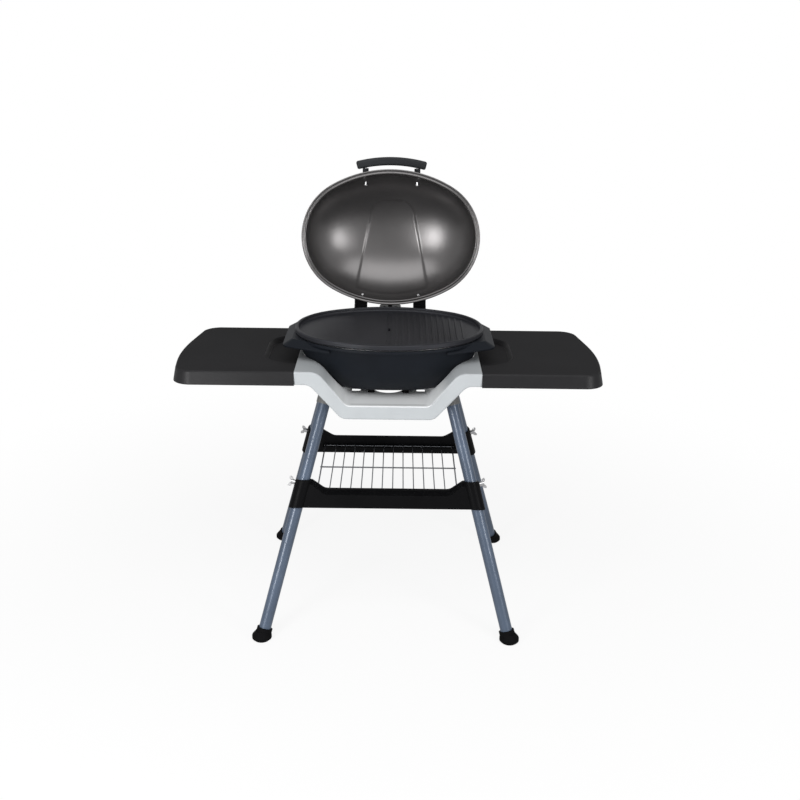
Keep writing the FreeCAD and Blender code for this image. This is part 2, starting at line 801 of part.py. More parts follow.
def make_bar(end):
    """A shelf bar with a sleeve for a leg at each end and a ledge for the rack."""
    body = new_body("shelf_bar")

    name = END_NAMES[end]
    foot_x = bar_x(end)
    sleeve = f"{name}_sleeve_height"

    def profile(front, middle, drop):
        """The bar seen from the front: high at the sleeves and low between them."""
        sketch = new_sketch(body, "XZ_Plane", front)
        crest_x = f"({foot_x} - {BAR_LEAN} * {sleeve})"
        crest = f"({sleeve} - {drop})"
        half = [
            (foot_x, "0"),
            (crest_x, crest),
            (f"({crest_x} - sleeve_radius)", crest, "wing_thickness"),
            (f"({crest_x} - sleeve_radius - bar_dip_run)", f"({middle} - {drop})", "bar_dip_round"),
        ]
        draw_outline(sketch, half + [(f"-{c[0]}", *c[1:]) for c in half][::-1])
        return sketch

    lip_face = "bar_lip_thickness - bar_thickness / 2"
    outside = profile("bar_thickness / 2", f"{name}_bar_height", "bar_slope")
    inside = profile(lip_face, f"{name}_bar_height", "0")
    loft(body, "AdditiveLoft", [outside, inside], ruled=True)
    lip = profile(lip_face, f"{name}_lip_height", "0")
    extrude(body, "Pad", lip, "bar_lip_thickness", reverse=True)
    ledge_height = f"((rack_level - {name}_bar_level + bar_thickness / 2 * sin({TILT})) / cos({TILT}))"
    ledge = new_sketch(body, "YZ_Plane", "-rack_half_width - rod_diameter")
    face = "bar_thickness / 2"
    tip_y = f"{face} + ledge_reach * cos({TILT})"
    tip_z = f"{ledge_height} + ledge_reach * sin({TILT})"
    draw_outline(ledge, [
        ("0", f"{ledge_height} - ledge_thickness"),
        (tip_y, f"{tip_z} - ledge_thickness"),
        (tip_y, tip_z),
        (face, ledge_height),
        ("0", ledge_height),
    ])
    extrude(body, "Pad", ledge, "2 * (rack_half_width + rod_diameter)")
    bores = []
    for side in SIDES.values():
        lean = Vector(-side * measure(BAR_LEAN), 0, 1).normalize()
        start = Vector(side * measure(foot_x), 0, 0) - lean * measure("sleeve_radius")
        add_cylinder(body, "Additive", start, lean, "sleeve_radius", f"{sleeve} + 3 * sleeve_radius")
        bores.append((start, lean))
    wide = f"({foot_x} + 3 * sleeve_radius)"
    for low, high in (("-2 * sleeve_radius", "0"), (sleeve, f"{sleeve} + 3 * sleeve_radius")):
        add_box(body, "Subtractive", (f"-{wide}", "-2 * sleeve_radius", low),
                (wide, "2 * sleeve_radius", high))
    for side, (start, lean) in zip(SIDES.values(), bores):
        add_cylinder(body, "Subtractive", start, lean, "leg_diameter / 2 + slip_gap", f"3 * {sleeve}")
        seat, outward = wing_axis(side, end)
        add_cylinder(body, "Subtractive", seat, outward, "wing_shank_radius + running_gap",
                     "2 * sleeve_radius")
    body.Placement = bar_placement(end)
    return body


def wing_axis(side, end):
    """A wing screw's start on the leg's centreline and its outward direction, in the bar's frame."""
    lean = measure(BAR_LEAN)
    height = measure(f"{END_NAMES[end]}_wing_height")
    seat = Vector(side * (measure(bar_x(end)) - lean * height), 0, height)
    return seat, Vector(side, 0, lean).normalize()


def make_wing_screw(side, end):
    """A wing screw whose tip bears on the leg through the sleeve."""
    body = new_body("wing_screw")
    tip = "(leg_diameter / 2 + clear_gap)"
    hub = "(sleeve_radius + clear_gap)"
    shank = new_sketch(body, "XY_Plane", tip)
    draw_circle(shank, "0", "0", "wing_shank_radius")
    extrude(body, "Pad", shank, f"{hub} - {tip} + 1")
    head = new_sketch(body, "XY_Plane", hub)
    draw_circle(head, "0", "0", "wing_hub_radius")
    extrude(body, "Pad", head, "wing_hub_length")
    wings = new_sketch(body, "XZ_Plane", "wing_thickness / 2")
    rise = f"({hub} + wing_hub_length)"
    half = [
        ("0", f"{hub} + wing_lift / 2"),
        ("wing_span - wing_hub_radius", f"{hub} + wing_lift", "wing_thickness"),
        ("wing_span", f"{rise} + wing_lift", "wing_thickness"),
        ("wing_hub_radius", f"{rise} + wing_lift / 2", "wing_thickness"),
        ("wing_hub_radius / 2", rise),
    ]
    draw_outline(wings, half + [(f"-({c[0]})", *c[1:]) for c in half[1:]][::-1])
    extrude(body, "Pad", wings, "wing_thickness", reverse=True)
    seat, outward = wing_axis(-side * end, end)
    body.Placement = bar_placement(end).multiply(Placement(seat, turn_to(outward)))
    return body


def make_rack():
    """A welded wire rack: rods across on the two ledges and wires from front to back."""
    doc.recompute()
    ledge_y = f"(leg_foot_y - {LEAN_Y} * rack_level - (bar_thickness / 2) / cos({TILT}))"
    rod_z = "(rack_level + rod_diameter / 2)"
    wire_z = f"({rod_z} + (rod_diameter + wire_diameter) / 2 - weld_depth)"
    along_x = Vector(1, 0, 0)
    along_y = Vector(0, 1, 0)
    rod_y = f"({ledge_y} - ledge_reach / 2)"
    items = []
    for y in (f"-{rod_y}", "0", rod_y):
        items.append(cylinder(point("-rack_half_width", y, rod_z), along_x, "rod_diameter / 2",
                              "2 * rack_half_width"))
    wire_half = f"({ledge_y} - rack_end_gap - (rod_diameter + wire_diameter) * {LEAN_Y})"
    count = int(measure("wire_count"))
    for k in range(count):
        x = f"({k} - ({count} - 1) / 2) * wire_pitch"
        items.append(cylinder(point(x, f"-{wire_half}", wire_z), along_y, "wire_diameter / 2",
                              f"2 * {wire_half}"))
    for side in SIDES.values():
        x = f"{side} * (rack_half_width - rod_diameter)"
        items.append(cylinder(point(x, f"-{wire_half}", wire_z), along_y, "rod_diameter / 2",
                              f"2 * {wire_half}"))
    return combine("MultiFuse", items, "wire_rack")


def section_sizes(name):
    """Height, half length, half width and end radius of one level of the bowl."""
    height = f"bowl_{name}_height"
    return height, f"bowl_{name}_length", f"bowl_{name}_width", f"bowl_{name}_radius"


def bowl_loft(body, kind, grow, bottom="bowl_bottom_height", top="bowl_rim_height"):
    """A solid of the bowl's outer form, grown or shrunk sideways by one distance."""
    sketches = []
    for name in BOWL_SECTIONS:
        height, length, width, radius = section_sizes(name)
        share = f"({height} - bowl_bottom_height) / (bowl_rim_height - bowl_bottom_height)"
        height = f"{bottom} + {share} * ({top} - ({bottom}))"
        sketches.append(oval_sketch(body, height, f"{length} + {grow}", f"{width} + {grow}",
                                    f"{radius} + {grow}"))
    return loft(body, kind, sketches)


def ear_outline(side, inset):
    """An ear seen from above: broad at the bowl, with two round corners at its tip."""
    root = f"{side} * ear_root_x"
    tip = f"{side} * (ear_reach - {inset})"
    half = f"(ear_half_width - {inset} / 2)"
    wide = f"({half} + ear_flare)"
    corner = f"ear_corner_round - {inset} / 2"
    return [(root, f"-{wide}"), (tip, f"-{half}", corner), (tip, half, corner), (root, wide)]


def make_bowl():
    """The deep oval bowl with a lip, an ear handle at each side and a socket at the rear."""
    body = new_body("bowl")
    bowl_loft(body, "AdditiveLoft", "0")
    pad_oval(body, "bowl_rim_height - bowl_lip_height", "bowl_rim_height", "bowl_rim_length + bowl_lip_reach",
             "bowl_rim_width + bowl_lip_reach", "bowl_rim_radius + bowl_lip_reach")
    ear_top = "(bowl_rim_height - ear_top_drop)"
    ear_level = f"({ear_top} - ear_slope_drop)"
    for side in SIDES.values():
        edges = []
        for height, inset in ((ear_level, "0"), (ear_top, "ear_slope_run")):
            sketch = new_sketch(body, "XY_Plane", height)
            draw_outline(sketch, ear_outline(side, inset))
            edges.append(sketch)
        loft(body, "AdditiveLoft", edges, ruled=True)
        sketch = new_sketch(body, "XY_Plane", f"{ear_level} - ear_thickness")
        draw_outline(sketch, ear_outline(side, "0"))
        extrude(body, "Pad", sketch, "ear_thickness")
    beyond = measure("bowl_rim_length + bowl_lip_reach")
    low = measure(f"{ear_level} - ear_thickness")
    dress(body, "Fillet", lambda edge: level(edge, low) and max(abs(v.X) for v in edge.Vertexes) > beyond,
          "ear_edge_round")
    bowl_loft(body, "SubtractiveLoft", "(-bowl_wall)", "bowl_bottom_height + bowl_floor")
    cut_socket(body)
    for side in SIDES.values():
        for seat in base_screw_seats(side):
            add_cylinder(body, "Subtractive", seat, Vector(0, -1, 0), "hinge_screw_radius + slip_gap",
                         BASE_SCREW)
    return body


def cut_socket(body):
    """The notch at the rear of the rim that the plug-in control goes through."""
    add_box(body, "Subtractive",
            ("-socket_half_width", "bowl_bottom_width", "bowl_rim_height - socket_height"),
            ("socket_half_width", "hinge_y", "bowl_rim_height + plate_rim_height"))


def make_bowl_feet():
    feet = []
    for side in SIDES.values():
        for end in ENDS.values():
            spot = point(f"{side} * bowl_foot_x", f"{end} * bowl_foot_y", "cradle_floor")
            feet.append(cylinder(spot, UP, "bowl_foot_radius", "bowl_bottom_height - cradle_floor"))
    return combine("Compound", feet, "bowl_feet")


PLATE_SEAT = "(bowl_rim_height + liner_wall)"
LINER_IN = "(bowl_wall + liner_gap + liner_wall)"


def make_liner():
    """A thin heat liner that hangs on the bowl's rim by its flange."""
    body = new_body("liner")
    bowl_loft(body, "AdditiveLoft", "(-bowl_wall - liner_gap)", "liner_bottom_height", PLATE_SEAT)
    inset = "(bowl_rim_length - liner_flange_reach)"
    pad_oval(body, "bowl_rim_height", PLATE_SEAT, "liner_flange_reach", f"bowl_rim_width - {inset}",
             f"bowl_rim_radius - {inset}")
    bowl_loft(body, "SubtractiveLoft", f"(-{LINER_IN})", "liner_bottom_height + liner_wall", PLATE_SEAT)
    cut_socket(body)
    return body


def make_tray():
    """The drip tray that lies on the floor of the liner under the plate's drain."""
    body = new_body("drip_tray")
    floor = "(liner_bottom_height + liner_wall)"
    pad_oval(body, floor, f"{floor} + tray_height", "tray_half_length", "tray_half_width", "tray_end_radius")
    pocket_oval(body, f"{floor} + tray_height", f"{floor} + tray_wall", "tray_half_length - tray_wall",
                "tray_half_width - tray_wall", "tray_end_radius - tray_wall")
    return body


PLATE_TOP = f"({PLATE_SEAT} + plate_rim_height)"
PLATE_FLOOR = f"({PLATE_SEAT} + plate_floor_rise)"
PLATE_BASE = f"({PLATE_SEAT} - plate_base_drop)"


def oval_reach(x, half_length, half_width, end_radius):
    """Half the width of a four-arc oval at a distance x from its middle."""
    run = half_length - end_radius
    side = (run ** 2 + half_width ** 2 - end_radius ** 2) / (2 * (half_width - end_radius))
    if x < side * run / (side - end_radius):
        return math.sqrt(side ** 2 - x ** 2) - (side - half_width)
    return math.sqrt(end_radius ** 2 - (x - run) ** 2)


def make_plate():
    """The cast grill plate: raised rim, smooth left half, ribbed right half, drain channel."""
    body = new_body("grill_plate")
    pad_oval(body, PLATE_SEAT, PLATE_TOP, "plate_half_length", "plate_half_width", "plate_end_radius")
    seat = measure(PLATE_SEAT)
    dress(body, "Fillet", lambda edge: level(edge, seat), "plate_skirt_round")
    pad_oval(body, PLATE_BASE, PLATE_TOP, "plate_half_length - plate_base_inset",
             "plate_half_width - plate_base_inset", "plate_end_radius - plate_base_inset")
    pocket_oval(body, PLATE_TOP, PLATE_FLOOR, "plate_half_length - plate_rim_width",
                "plate_half_width - plate_rim_width", "plate_end_radius - plate_rim_width")
    top = measure(PLATE_TOP)
    floor = measure(PLATE_FLOOR)
    inner_reach = measure("plate_half_length - plate_rim_width")
    dress(body, "Fillet", lambda edge: level(edge, top), "plate_rim_round")
    dress(body, "Fillet", lambda edge: level(edge, floor) and edge.BoundBox.XMax < inner_reach + 0.01
          and edge.BoundBox.XMin > -inner_reach - 0.01, "plate_floor_round")
    add_box(body, "Subtractive",
            ("-channel_half_width", "-channel_half_length", f"{PLATE_FLOOR} - channel_depth"),
            ("channel_half_width", "channel_half_length", PLATE_TOP))
    add_box(body, "Subtractive",
            ("-drain_half_width", "-drain_half_length", f"{PLATE_BASE} - plate_base_drop"),
            ("drain_half_width", "drain_half_length", PLATE_TOP))
    ribs = new_sketch(body, "XY_Plane", PLATE_FLOOR)
    inside = [measure(f"plate_{name} - plate_rim_width - rib_margin")
              for name in ("half_length", "half_width", "end_radius")]
    for k in range(int(measure("rib_count"))):
        x = f"(channel_half_width + rib_margin + {k} * rib_pitch)"
        far = measure(f"{x} + rib_width / 2")
        if far > inside[0] - measure("rib_margin"):
            break
        reach = oval_reach(far, *inside)
        left, right = f"{x} - rib_width / 2", f"{x} + rib_width / 2"
        draw_outline(ribs, [(left, -reach), (right, -reach), (right, reach), (left, reach)])
    extrude(body, "Pad", ribs, "rib_height")
    return body


ELEMENT_HEIGHT = f"({PLATE_BASE} - element_radius - clear_gap / 4)"


def draw_open_path(sketch, corners):
    """Draw an open run of lines with rounded corners, as for draw_outline."""
    draw_outline(sketch, corners)
    closing = len(corners) - 1
    doomed = [i for i, c in enumerate(sketch.Constraints)
              if c.Type == "Coincident" and closing in (c.First, c.Second)]
    for index in reversed(doomed):
        sketch.delConstraint(index)
    sketch.toggleConstruction(closing)


def make_element():
    """The tubular heating element, one loop under the plate with two straight terminals."""
    body = new_body("heating_element")
    path = new_sketch(body, "XY_Plane", ELEMENT_HEIGHT)
    half = [
        ("terminal_x", "terminal_end"),
        ("terminal_x", "element_rear", "terminal_bend"),
        ("element_half_x", "element_rear", "element_bend"),
        ("element_half_x", "-element_front", "element_bend"),
    ]
    corners = half + [(f"-{c[0]}", *c[1:]) for c in half][::-1]
    draw_open_path(path, corners)
    ring = new_sketch(body, "XZ_Plane", "-terminal_end")
    draw_circle(ring, "terminal_x", ELEMENT_HEIGHT, "element_radius")
    pipe = body.newObject("PartDesign::AdditivePipe", "pipe")
    pipe.Profile = ring
    pipe.Spine = (path, [])
    pipe.Transition = "Round corner"
    return body


def make_clips():
    """Four saddle clips that hold the element against the plate."""
    spots = [("element_half_x", "0", Vector(0, 1, 0)), ("-element_half_x", "0", Vector(0, 1, 0)),
             ("clip_front_x", "-element_front", Vector(1, 0, 0)),
             ("-clip_front_x", "-element_front", Vector(1, 0, 0))]
    clips = []
    for x, y, along in spots:
        block = doc.addObject("Part::Box", "block")
        low = f"{ELEMENT_HEIGHT} - element_radius - clip_wall"
        block.setExpression("Length", bound("clip_size"))
        block.setExpression("Width", bound("clip_size"))
        block.setExpression("Height", bound(f"{PLATE_BASE} - ({low})"))
        block.Placement = Placement(point(f"{x} - clip_size / 2", f"{y} - clip_size / 2", low), Rotation())
        start = point(x, y, ELEMENT_HEIGHT) - along * measure("clip_size")
        groove = cylinder(start, along, "element_radius + slip_gap", "2 * clip_size")
        clips.append(subtract(block, groove))
    return combine("Compound", clips, "element_clips")


PROBE_HEIGHT = f"({PLATE_BASE} - probe_drop)"


def make_block():
    """The ceramic block that carries the terminals and guides the control's probe."""
    body = new_body("terminal_block")
    add_box(body, "Additive", ("-block_half_width", "block_front", f"{PLATE_BASE} - block_height"),
            ("block_half_width", "block_front + block_depth", PLATE_BASE))
    back = Vector(0, 1, 0)
    for side in SIDES.values():
        start = point(f"{side} * terminal_x", "block_front - block_depth", ELEMENT_HEIGHT)
        add_cylinder(body, "Subtractive", start, back, "element_radius + slip_gap", "3 * block_depth")
    start = point("0", "block_front - block_depth", PROBE_HEIGHT)
    add_cylinder(body, "Subtractive", start, back, "probe_radius + clear_gap", "3 * block_depth")
    return body


BASE_SCREW = "(base_pad_face - bowl_upper_width + 2 * bowl_wall + bowl_floor)"


def base_screw_seats(side):
    spots = ("hinge_inner_x * 0.7 + hinge_split_x * 0.3", "hinge_inner_x * 0.25 + hinge_split_x * 0.75")
    return [point(f"{side} * ({x})", "base_pad_face", "base_screw_height") for x in spots]


def span(side, low, high):
    """Two distances from the middle as a low and a high X for one side."""
    return (low, high) if side > 0 else (f"-({high})", f"-({low})")


def make_hinge_base(side):
    """The fixed half of a hinge: a pad on the bowl's rear wall and a knuckle for the pin."""
    body = new_body("hinge_base")
    low, high = span(side, "hinge_inner_x", "hinge_split_x - knuckle_gap")
    sketch = new_sketch(body, "YZ_Plane", low)
    draw_outline(sketch, [
        ("bowl_lower_width", "base_pad_low"),
        ("base_pad_face", "base_pad_low"),
        ("hinge_y + knuckle_radius", "hinge_height - knuckle_radius / 2"),
        ("hinge_y + knuckle_radius", "hinge_height"),
        ("hinge_y - knuckle_radius", "hinge_height"),
        ("base_pad_face + bowl_lip_reach", "base_pad_high"),
        ("bowl_lower_width", "base_pad_high"),
    ])
    extrude(body, "Pad", sketch, f"({high}) - ({low})")
    knuckle(body, low, high)
    bowl_loft(body, "SubtractiveLoft", "0")
    for seat in base_screw_seats(side):
        add_cylinder(body, "Subtractive", seat, Vector(0, -1, 0), "hinge_screw_radius + slip_gap", BASE_SCREW)
        add_cylinder(body, "Subtractive", seat, Vector(0, 1, 0), "hinge_screw_head + clear_gap",
                     "2 * knuckle_radius")
    bore_hinge(body, side)
    return body


def knuckle(body, low, high):
    """A round barrel on the hinge axis between two X positions."""
    start = point(low, "hinge_y", "hinge_height")
    add_cylinder(body, "Additive", start, Vector(1, 0, 0), "knuckle_radius", f"({high}) - ({low})")


def bore_hinge(body, side):
    start = point(f"{side} * (hinge_inner_x - pin_head_length)", "hinge_y", "hinge_height")
    add_cylinder(body, "Subtractive", start, Vector(side, 0, 0), "pin_radius + running_gap",
                 "2 * (hinge_outer_x - hinge_inner_x)")


def make_base_screws():
    screws = []
    for side in SIDES.values():
        for seat in base_screw_seats(side):
            screws.append(screw(seat, Vector(0, -1, 0), "hinge_screw_head", "hinge_screw_radius", BASE_SCREW))
    return combine("Compound", screws, "hinge_base_screws")


def make_pins():
    pins = []
    for side in SIDES.values():
        seat = point(f"{side} * (hinge_inner_x - knuckle_gap / 2)", "hinge_y", "hinge_height")
        outward = Vector(side, 0, 0)
        head = cylinder(seat, outward * -1, "pin_head_radius", "pin_head_length")
        shank = cylinder(seat, outward, "pin_radius", "hinge_outer_x - hinge_inner_x + pin_head_length / 2")
        pins.append(combine("MultiFuse", [head, shank], "pin"))
    return combine("Compound", pins, "hinge_pins")


DOME_LEVELS = (0, 0.3, 0.55, 0.75, 0.88, 0.96, 0.99)


def dome_loft(body, kind, grow, base="lid_rim_height"):
    """A solid of the lid's dome, grown sideways and upwards by one distance."""
    sketches = []
    for share in DOME_LEVELS:
        scale = math.sqrt(1 - share ** 2)
        height = f"{base} + {share} * (lid_depth + {grow})"
        sizes = [f"(lid_{name} - lid_flange_width + {grow}) * {scale}"
                 for name in ("half_length", "half_width", "end_radius")]
        sketches.append(oval_sketch(body, height, *sizes))
    return loft(body, kind, sketches)


def make_lid_shell():
    """The domed lid with a flat out-turned rim."""
    body = new_body("lid_shell")
    dome_loft(body, "AdditiveLoft", "0")
    pad_oval(body, "lid_rim_height", "lid_rim_height + lid_flange_height", "lid_half_length",
             "lid_half_width", "lid_end_radius")
    dome_loft(body, "SubtractiveLoft", "(-lid_wall)")
    for side in SIDES.values():
        for start, direction, radius in (handle_screw_axis(side), leaf_screw_axis(side)):
            add_cylinder(body, "Subtractive", start - direction * measure("lid_flange_width"), direction,
                         f"{radius} + slip_gap", "4 * lid_flange_width")
    return body


def dome_depth_at(x, height):
    """Half the inside width of the dome at a distance x and a height, for seating screws."""
    share = (measure(height) - measure("lid_rim_height")) / measure("lid_depth - lid_wall")
    scale = math.sqrt(1 - share ** 2)
    sizes = [measure(f"lid_{name} - lid_flange_width - lid_wall") * scale
             for name in ("half_length", "half_width", "end_radius")]
    return oval_reach(measure(x), *sizes)


def handle_screw_axis(side):
    reach = dome_depth_at("handle_post_x + handle_screw_head", "handle_height + handle_screw_head")
    start = Vector(side * measure("handle_post_x"), -reach, measure("handle_height"))
    return start, Vector(0, -1, 0), "handle_screw_radius"


def handle_screw_length():
    """From the head's seat inside the dome to the middle of the grip."""
    start = handle_screw_axis(1)[0]
    return f"(grip_reach - grip_thickness / 2 + {start.y})"


def leaf_screw_axis(side):
    x = "(hinge_split_x - hinge_screw_head)"
    reach = dome_depth_at(f"{x} + hinge_screw_head", "leaf_screw_height + hinge_screw_head")
    start = Vector(side * measure(x), reach, measure("leaf_screw_height"))
    return start, Vector(0, 1, 0), "hinge_screw_radius"


def make_lid_screws(axis, length, head, name):
    screws = []
    for side in SIDES.values():
        start, direction, radius = axis(side)
        screws.append(screw(start, direction, head, radius, length))
    return combine("Compound", screws, name)


def make_leaf(side):
    """The moving half of a hinge: a pad on the lid's rear wall and a knuckle."""
    body = new_body("hinge_leaf")
    low, high = span(side, "hinge_inner_x", "hinge_outer_x")
    sketch = new_sketch(body, "YZ_Plane", low)
    draw_outline(sketch, [
        ("bowl_lower_width", "leaf_shelf_height"),
        ("leaf_clear_y", "leaf_shelf_height"),
        ("leaf_clear_y", "hinge_height + leaf_low_clear"),
        ("leaf_face_y", "hinge_height + leaf_low_clear"),
        ("leaf_face_y", "leaf_shelf_height", "knuckle_radius"),
        ("leaf_top_y", "leaf_top_height"),
        ("bowl_lower_width", "leaf_top_height"),
    ])
    extrude(body, "Pad", sketch, f"({high}) - ({low})")
    low, high = span(side, "hinge_split_x", "hinge_outer_x")
    web = new_sketch(body, "YZ_Plane", low)
    draw_outline(web, [
        ("hinge_y - knuckle_radius", "hinge_height"),
        ("hinge_y + knuckle_radius", "hinge_height"),
        ("leaf_face_y", "hinge_height + leaf_low_clear + 1"),
        ("hinge_y - knuckle_radius", "hinge_height + leaf_low_clear + 1"),
    ])
    extrude(body, "Pad", web, f"({high}) - ({low})")
    knuckle(body, low, high)
    dome_loft(body, "SubtractiveLoft", "0")
    start, direction, radius = leaf_screw_axis(side)
    add_cylinder(body, "Subtractive", start, direction, f"{radius} + slip_gap", LEAF_SCREW)
    bore_hinge(body, side)
    return body


LEAF_SCREW = "(2 * leaf_low_clear + 4)"
GRIP_INNER = "(grip_reach - grip_thickness)"


def make_grip():
    """The arched bar of the lid's handle."""
    body = new_body("handle_grip")
    sketch = new_sketch(body, "XY_Plane", "handle_height - grip_depth / 2")
    draw_arch(sketch, "grip_half_length", "grip_reach", GRIP_INNER, "grip_rise")
    extrude(body, "Pad", sketch, "grip_depth")
    dress(body, "Fillet", lambda edge: edge.Length > measure("grip_thickness") / 2, "grip_edge_round")
    for side in SIDES.values():
        start, direction, radius = handle_screw_axis(side)
        add_cylinder(body, "Subtractive", start, direction, f"{radius} + slip_gap",
                         handle_screw_length())
    return body


def draw_arch(sketch, half, reach, inner, rise):
    """A bar bowed towards -Y: two arcs about one centre and two straight ends."""
    radius = f"((({half})^2 + ({rise})^2) / (2 * ({rise})))"
    center_y = f"({radius} - ({reach}))"
    tip = math.asin(measure(half) / measure(radius))
    inner_radius = f"({radius} - (({reach}) - ({inner})))"
    arcs = []
    center = point("0", center_y, "0")
    for size in (radius, inner_radius):
        circle = Part.Circle(center, UP, measure(size))
        index = sketch.addGeometry(Part.ArcOfCircle(circle, 1.5 * math.pi - tip, 1.5 * math.pi + tip))
        place_point(sketch, index, 3, "0", center_y)
        dimension(sketch, "Radius", size, index)
        ends = f"({size}) * ({half}) / {radius}"
        dimension(sketch, "DistanceX", f"-{ends}", -1, 1, index, 1)
        dimension(sketch, "DistanceX", ends, -1, 1, index, 2)
        arcs.append(sketch.Geometry[index])
    for position, spots in ((1, [a.StartPoint for a in arcs]), (2, [a.EndPoint for a in arcs])):
        index = sketch.addGeometry(Part.LineSegment(*spots))
        sketch.addConstraint(Sketcher.Constraint("Coincident", index, 1, 0, position))
        sketch.addConstraint(Sketcher.Constraint("Coincident", index, 2, 1, position))


def make_posts():
    """The two stand-offs between the lid's wall and the grip."""
    posts = []
    for side in SIDES.values():
        body = new_body("post")
        start, direction, radius = handle_screw_axis(side)
        x = measure("handle_post_x")
        radius_grip = measure("(grip_half_length^2 + grip_rise^2) / (2 * grip_rise)")
        inner_radius = radius_grip - measure("grip_thickness")
        near = math.sqrt(inner_radius ** 2 - (x + measure("handle_post_radius")) ** 2)
        seat = near + measure("grip_reach") - radius_grip
        length = seat + start.y
        add_cylinder(body, "Additive", start, direction, "handle_post_radius", f"{length}")
        dome_loft(body, "SubtractiveLoft", "0")
        add_cylinder(body, "Subtractive", start, direction, f"{radius} + slip_gap",
                         handle_screw_length())
        posts.append(body)
    return combine("Compound", posts, "handle_posts")


CONTROL_MID = "(bowl_rim_height - control_drop)"
CONTROL_REAR = "(control_front + control_length)"


def make_control_shell(upper):
    """One half of the plug-in control's casing, a thin shell open at the parting line."""
    body = new_body("control_shell")
    half_x = "control_half_width"
    low, high = (CONTROL_MID, f"{CONTROL_MID} + control_half_height")
    if not upper:
        low, high = (f"{CONTROL_MID} - control_half_height", CONTROL_MID)

    def plan(inset):
        return [
            (f"-({half_x} - {inset})", f"control_front + {inset}"),
            (f"{half_x} - {inset}", f"control_front + {inset}"),
            (f"{half_x} - {inset}", f"{CONTROL_REAR} - {inset}", f"control_round - {inset}"),
            (f"-({half_x} - {inset})", f"{CONTROL_REAR} - {inset}", f"control_round - {inset}"),
        ]

    sketch = new_sketch(body, "XY_Plane", low)
    draw_outline(sketch, plan("0"))
    extrude(body, "Pad", sketch, f"({high}) - ({low})")
    flat = measure(high if upper else low)
    dress(body, "Fillet", lambda edge: level(edge, flat), "control_wall * 1.8")
    hollow = new_sketch(body, "XY_Plane", CONTROL_MID)
    draw_outline(hollow, plan("control_wall"))
    extrude(body, "Pocket", hollow, "control_half_height - control_wall", reverse=upper)
    ahead = Vector(0, -1, 0)
    wall = point("0", "control_front + control_wall", PROBE_HEIGHT)
    add_cylinder(body, "Subtractive", wall, ahead, "probe_radius + slip_gap", "2 * control_wall")
    for side in SIDES.values():
        wall = point(f"{side} * terminal_x", "control_front + control_wall", ELEMENT_HEIGHT)
        add_cylinder(body, "Subtractive", wall, ahead, "contact_radius + slip_gap", "2 * control_wall")
    if upper:
        bores = (
            (knob_spot(), "knob_shaft_radius + running_gap"),
            (lamp_spot(), "lamp_radius + slip_gap"),
        )
        for spot, radius in bores:
            add_cylinder(body, "Subtractive", spot - UP * measure("control_half_height"), UP, radius,
                         "2 * control_half_height")
    else:
        add_cylinder(body, "Subtractive", gland_spot(), Vector(1, 0, 0), "gland_radius - control_wall",
                     "control_wall")
    return body


def knob_spot():
    return point("0", "control_front + knob_inset", f"{CONTROL_MID} + control_half_height")


def lamp_spot():
    return point("0", "control_front + lamp_inset", f"{CONTROL_MID} + control_half_height")


def gland_spot():
    """Where the cord gland passes through the control's right-hand wall."""
    return point("control_half_width - control_wall", "control_front + knob_inset",
                 f"{CONTROL_MID} - control_half_height / 2")


def make_probe():
    """The thermostat's sensing rod, with a collar inside the casing."""
    start = point("0", "control_front + control_wall", PROBE_HEIGHT)
    rod = cylinder(start, Vector(0, -1, 0), "probe_radius", "probe_length + control_wall")
    collar = cylinder(start, Vector(0, 1, 0), "contact_radius", "contact_length / 2")
    return combine("MultiFuse", [rod, collar], "probe")


def make_contacts():
    """The two sleeves that slide over the element's terminals."""
    sleeves = []
    for side in SIDES.values():
        start = point(f"{side} * terminal_x", "control_front + contact_length / 2", ELEMENT_HEIGHT)
        ahead = Vector(0, -1, 0)
        sleeve = cylinder(start, ahead, "contact_radius", "contact_length * 1.4")
        mouth = cylinder(start + ahead * measure("contact_length / 4"), ahead, "element_radius + clear_gap",
                         "2 * contact_length")
        sleeves.append(subtract(sleeve, mouth))
    return combine("Compound", sleeves, "contact_sleeves")


def make_lamp():
    """The pilot lamp's lens, a low dome on the control's top."""
    body = new_body("lamp")
    sketch = new_sketch(body, "XZ_Plane")
    draw_outline(sketch, [
        ("0", "-control_wall"),
        ("lamp_radius", "-control_wall"),
        ("lamp_radius", "control_wall", "lamp_radius * 0.6"),
        ("0", "control_wall * 1.4"),
    ])
    turned = body.newObject("PartDesign::Revolution", "revolution")
    turned.Profile = sketch
    turned.ReferenceAxis = (sketch, ["V_Axis"])
    turned.Angle = 360
    body.Placement = Placement(lamp_spot(), Rotation())
    return body


def make_gland():
    """The gland for the cord in the control's side."""
    spot = gland_spot()
    outward = Vector(1, 0, 0)
    neck = cylinder(spot, outward, "gland_radius - control_wall - slip_gap", "control_wall")
    collar = cylinder(spot + outward * measure("control_wall"), outward, "gland_radius", "gland_length")
    bore = cylinder(spot - outward, outward, "gland_bore", "2 * gland_length + control_wall")
    return subtract(combine("MultiFuse", [neck, collar], "gland"), bore)


def make_knob():
    """The dial: a skirted disc with a raised finger bar."""
    body = new_body("knob")
    base = new_sketch(body, "XY_Plane", "clear_gap")
    draw_circle(base, "0", "0", "knob_radius")
    extrude(body, "Pad", base, "knob_height * 0.4")
    grip = new_sketch(body, "XY_Plane", "clear_gap")
    bar = "knob_radius * 0.28"
    reach = "knob_radius * 0.86"
    draw_outline(grip, [(f"-{bar}", f"-{reach}", "knob_round"), (bar, f"-{reach}", "knob_round"),
                        (bar, reach, "knob_round"), (f"-{bar}", reach, "knob_round")])
    extrude(body, "Pad", grip, "knob_height")
    body.Placement = Placement(knob_spot(), Rotation())
    return body


def make_knob_shaft():
    low = "control_half_height - control_wall"
    start = knob_spot() - UP * measure(low)
    return cylinder(start, UP, "knob_shaft_radius", f"{low} + clear_gap")


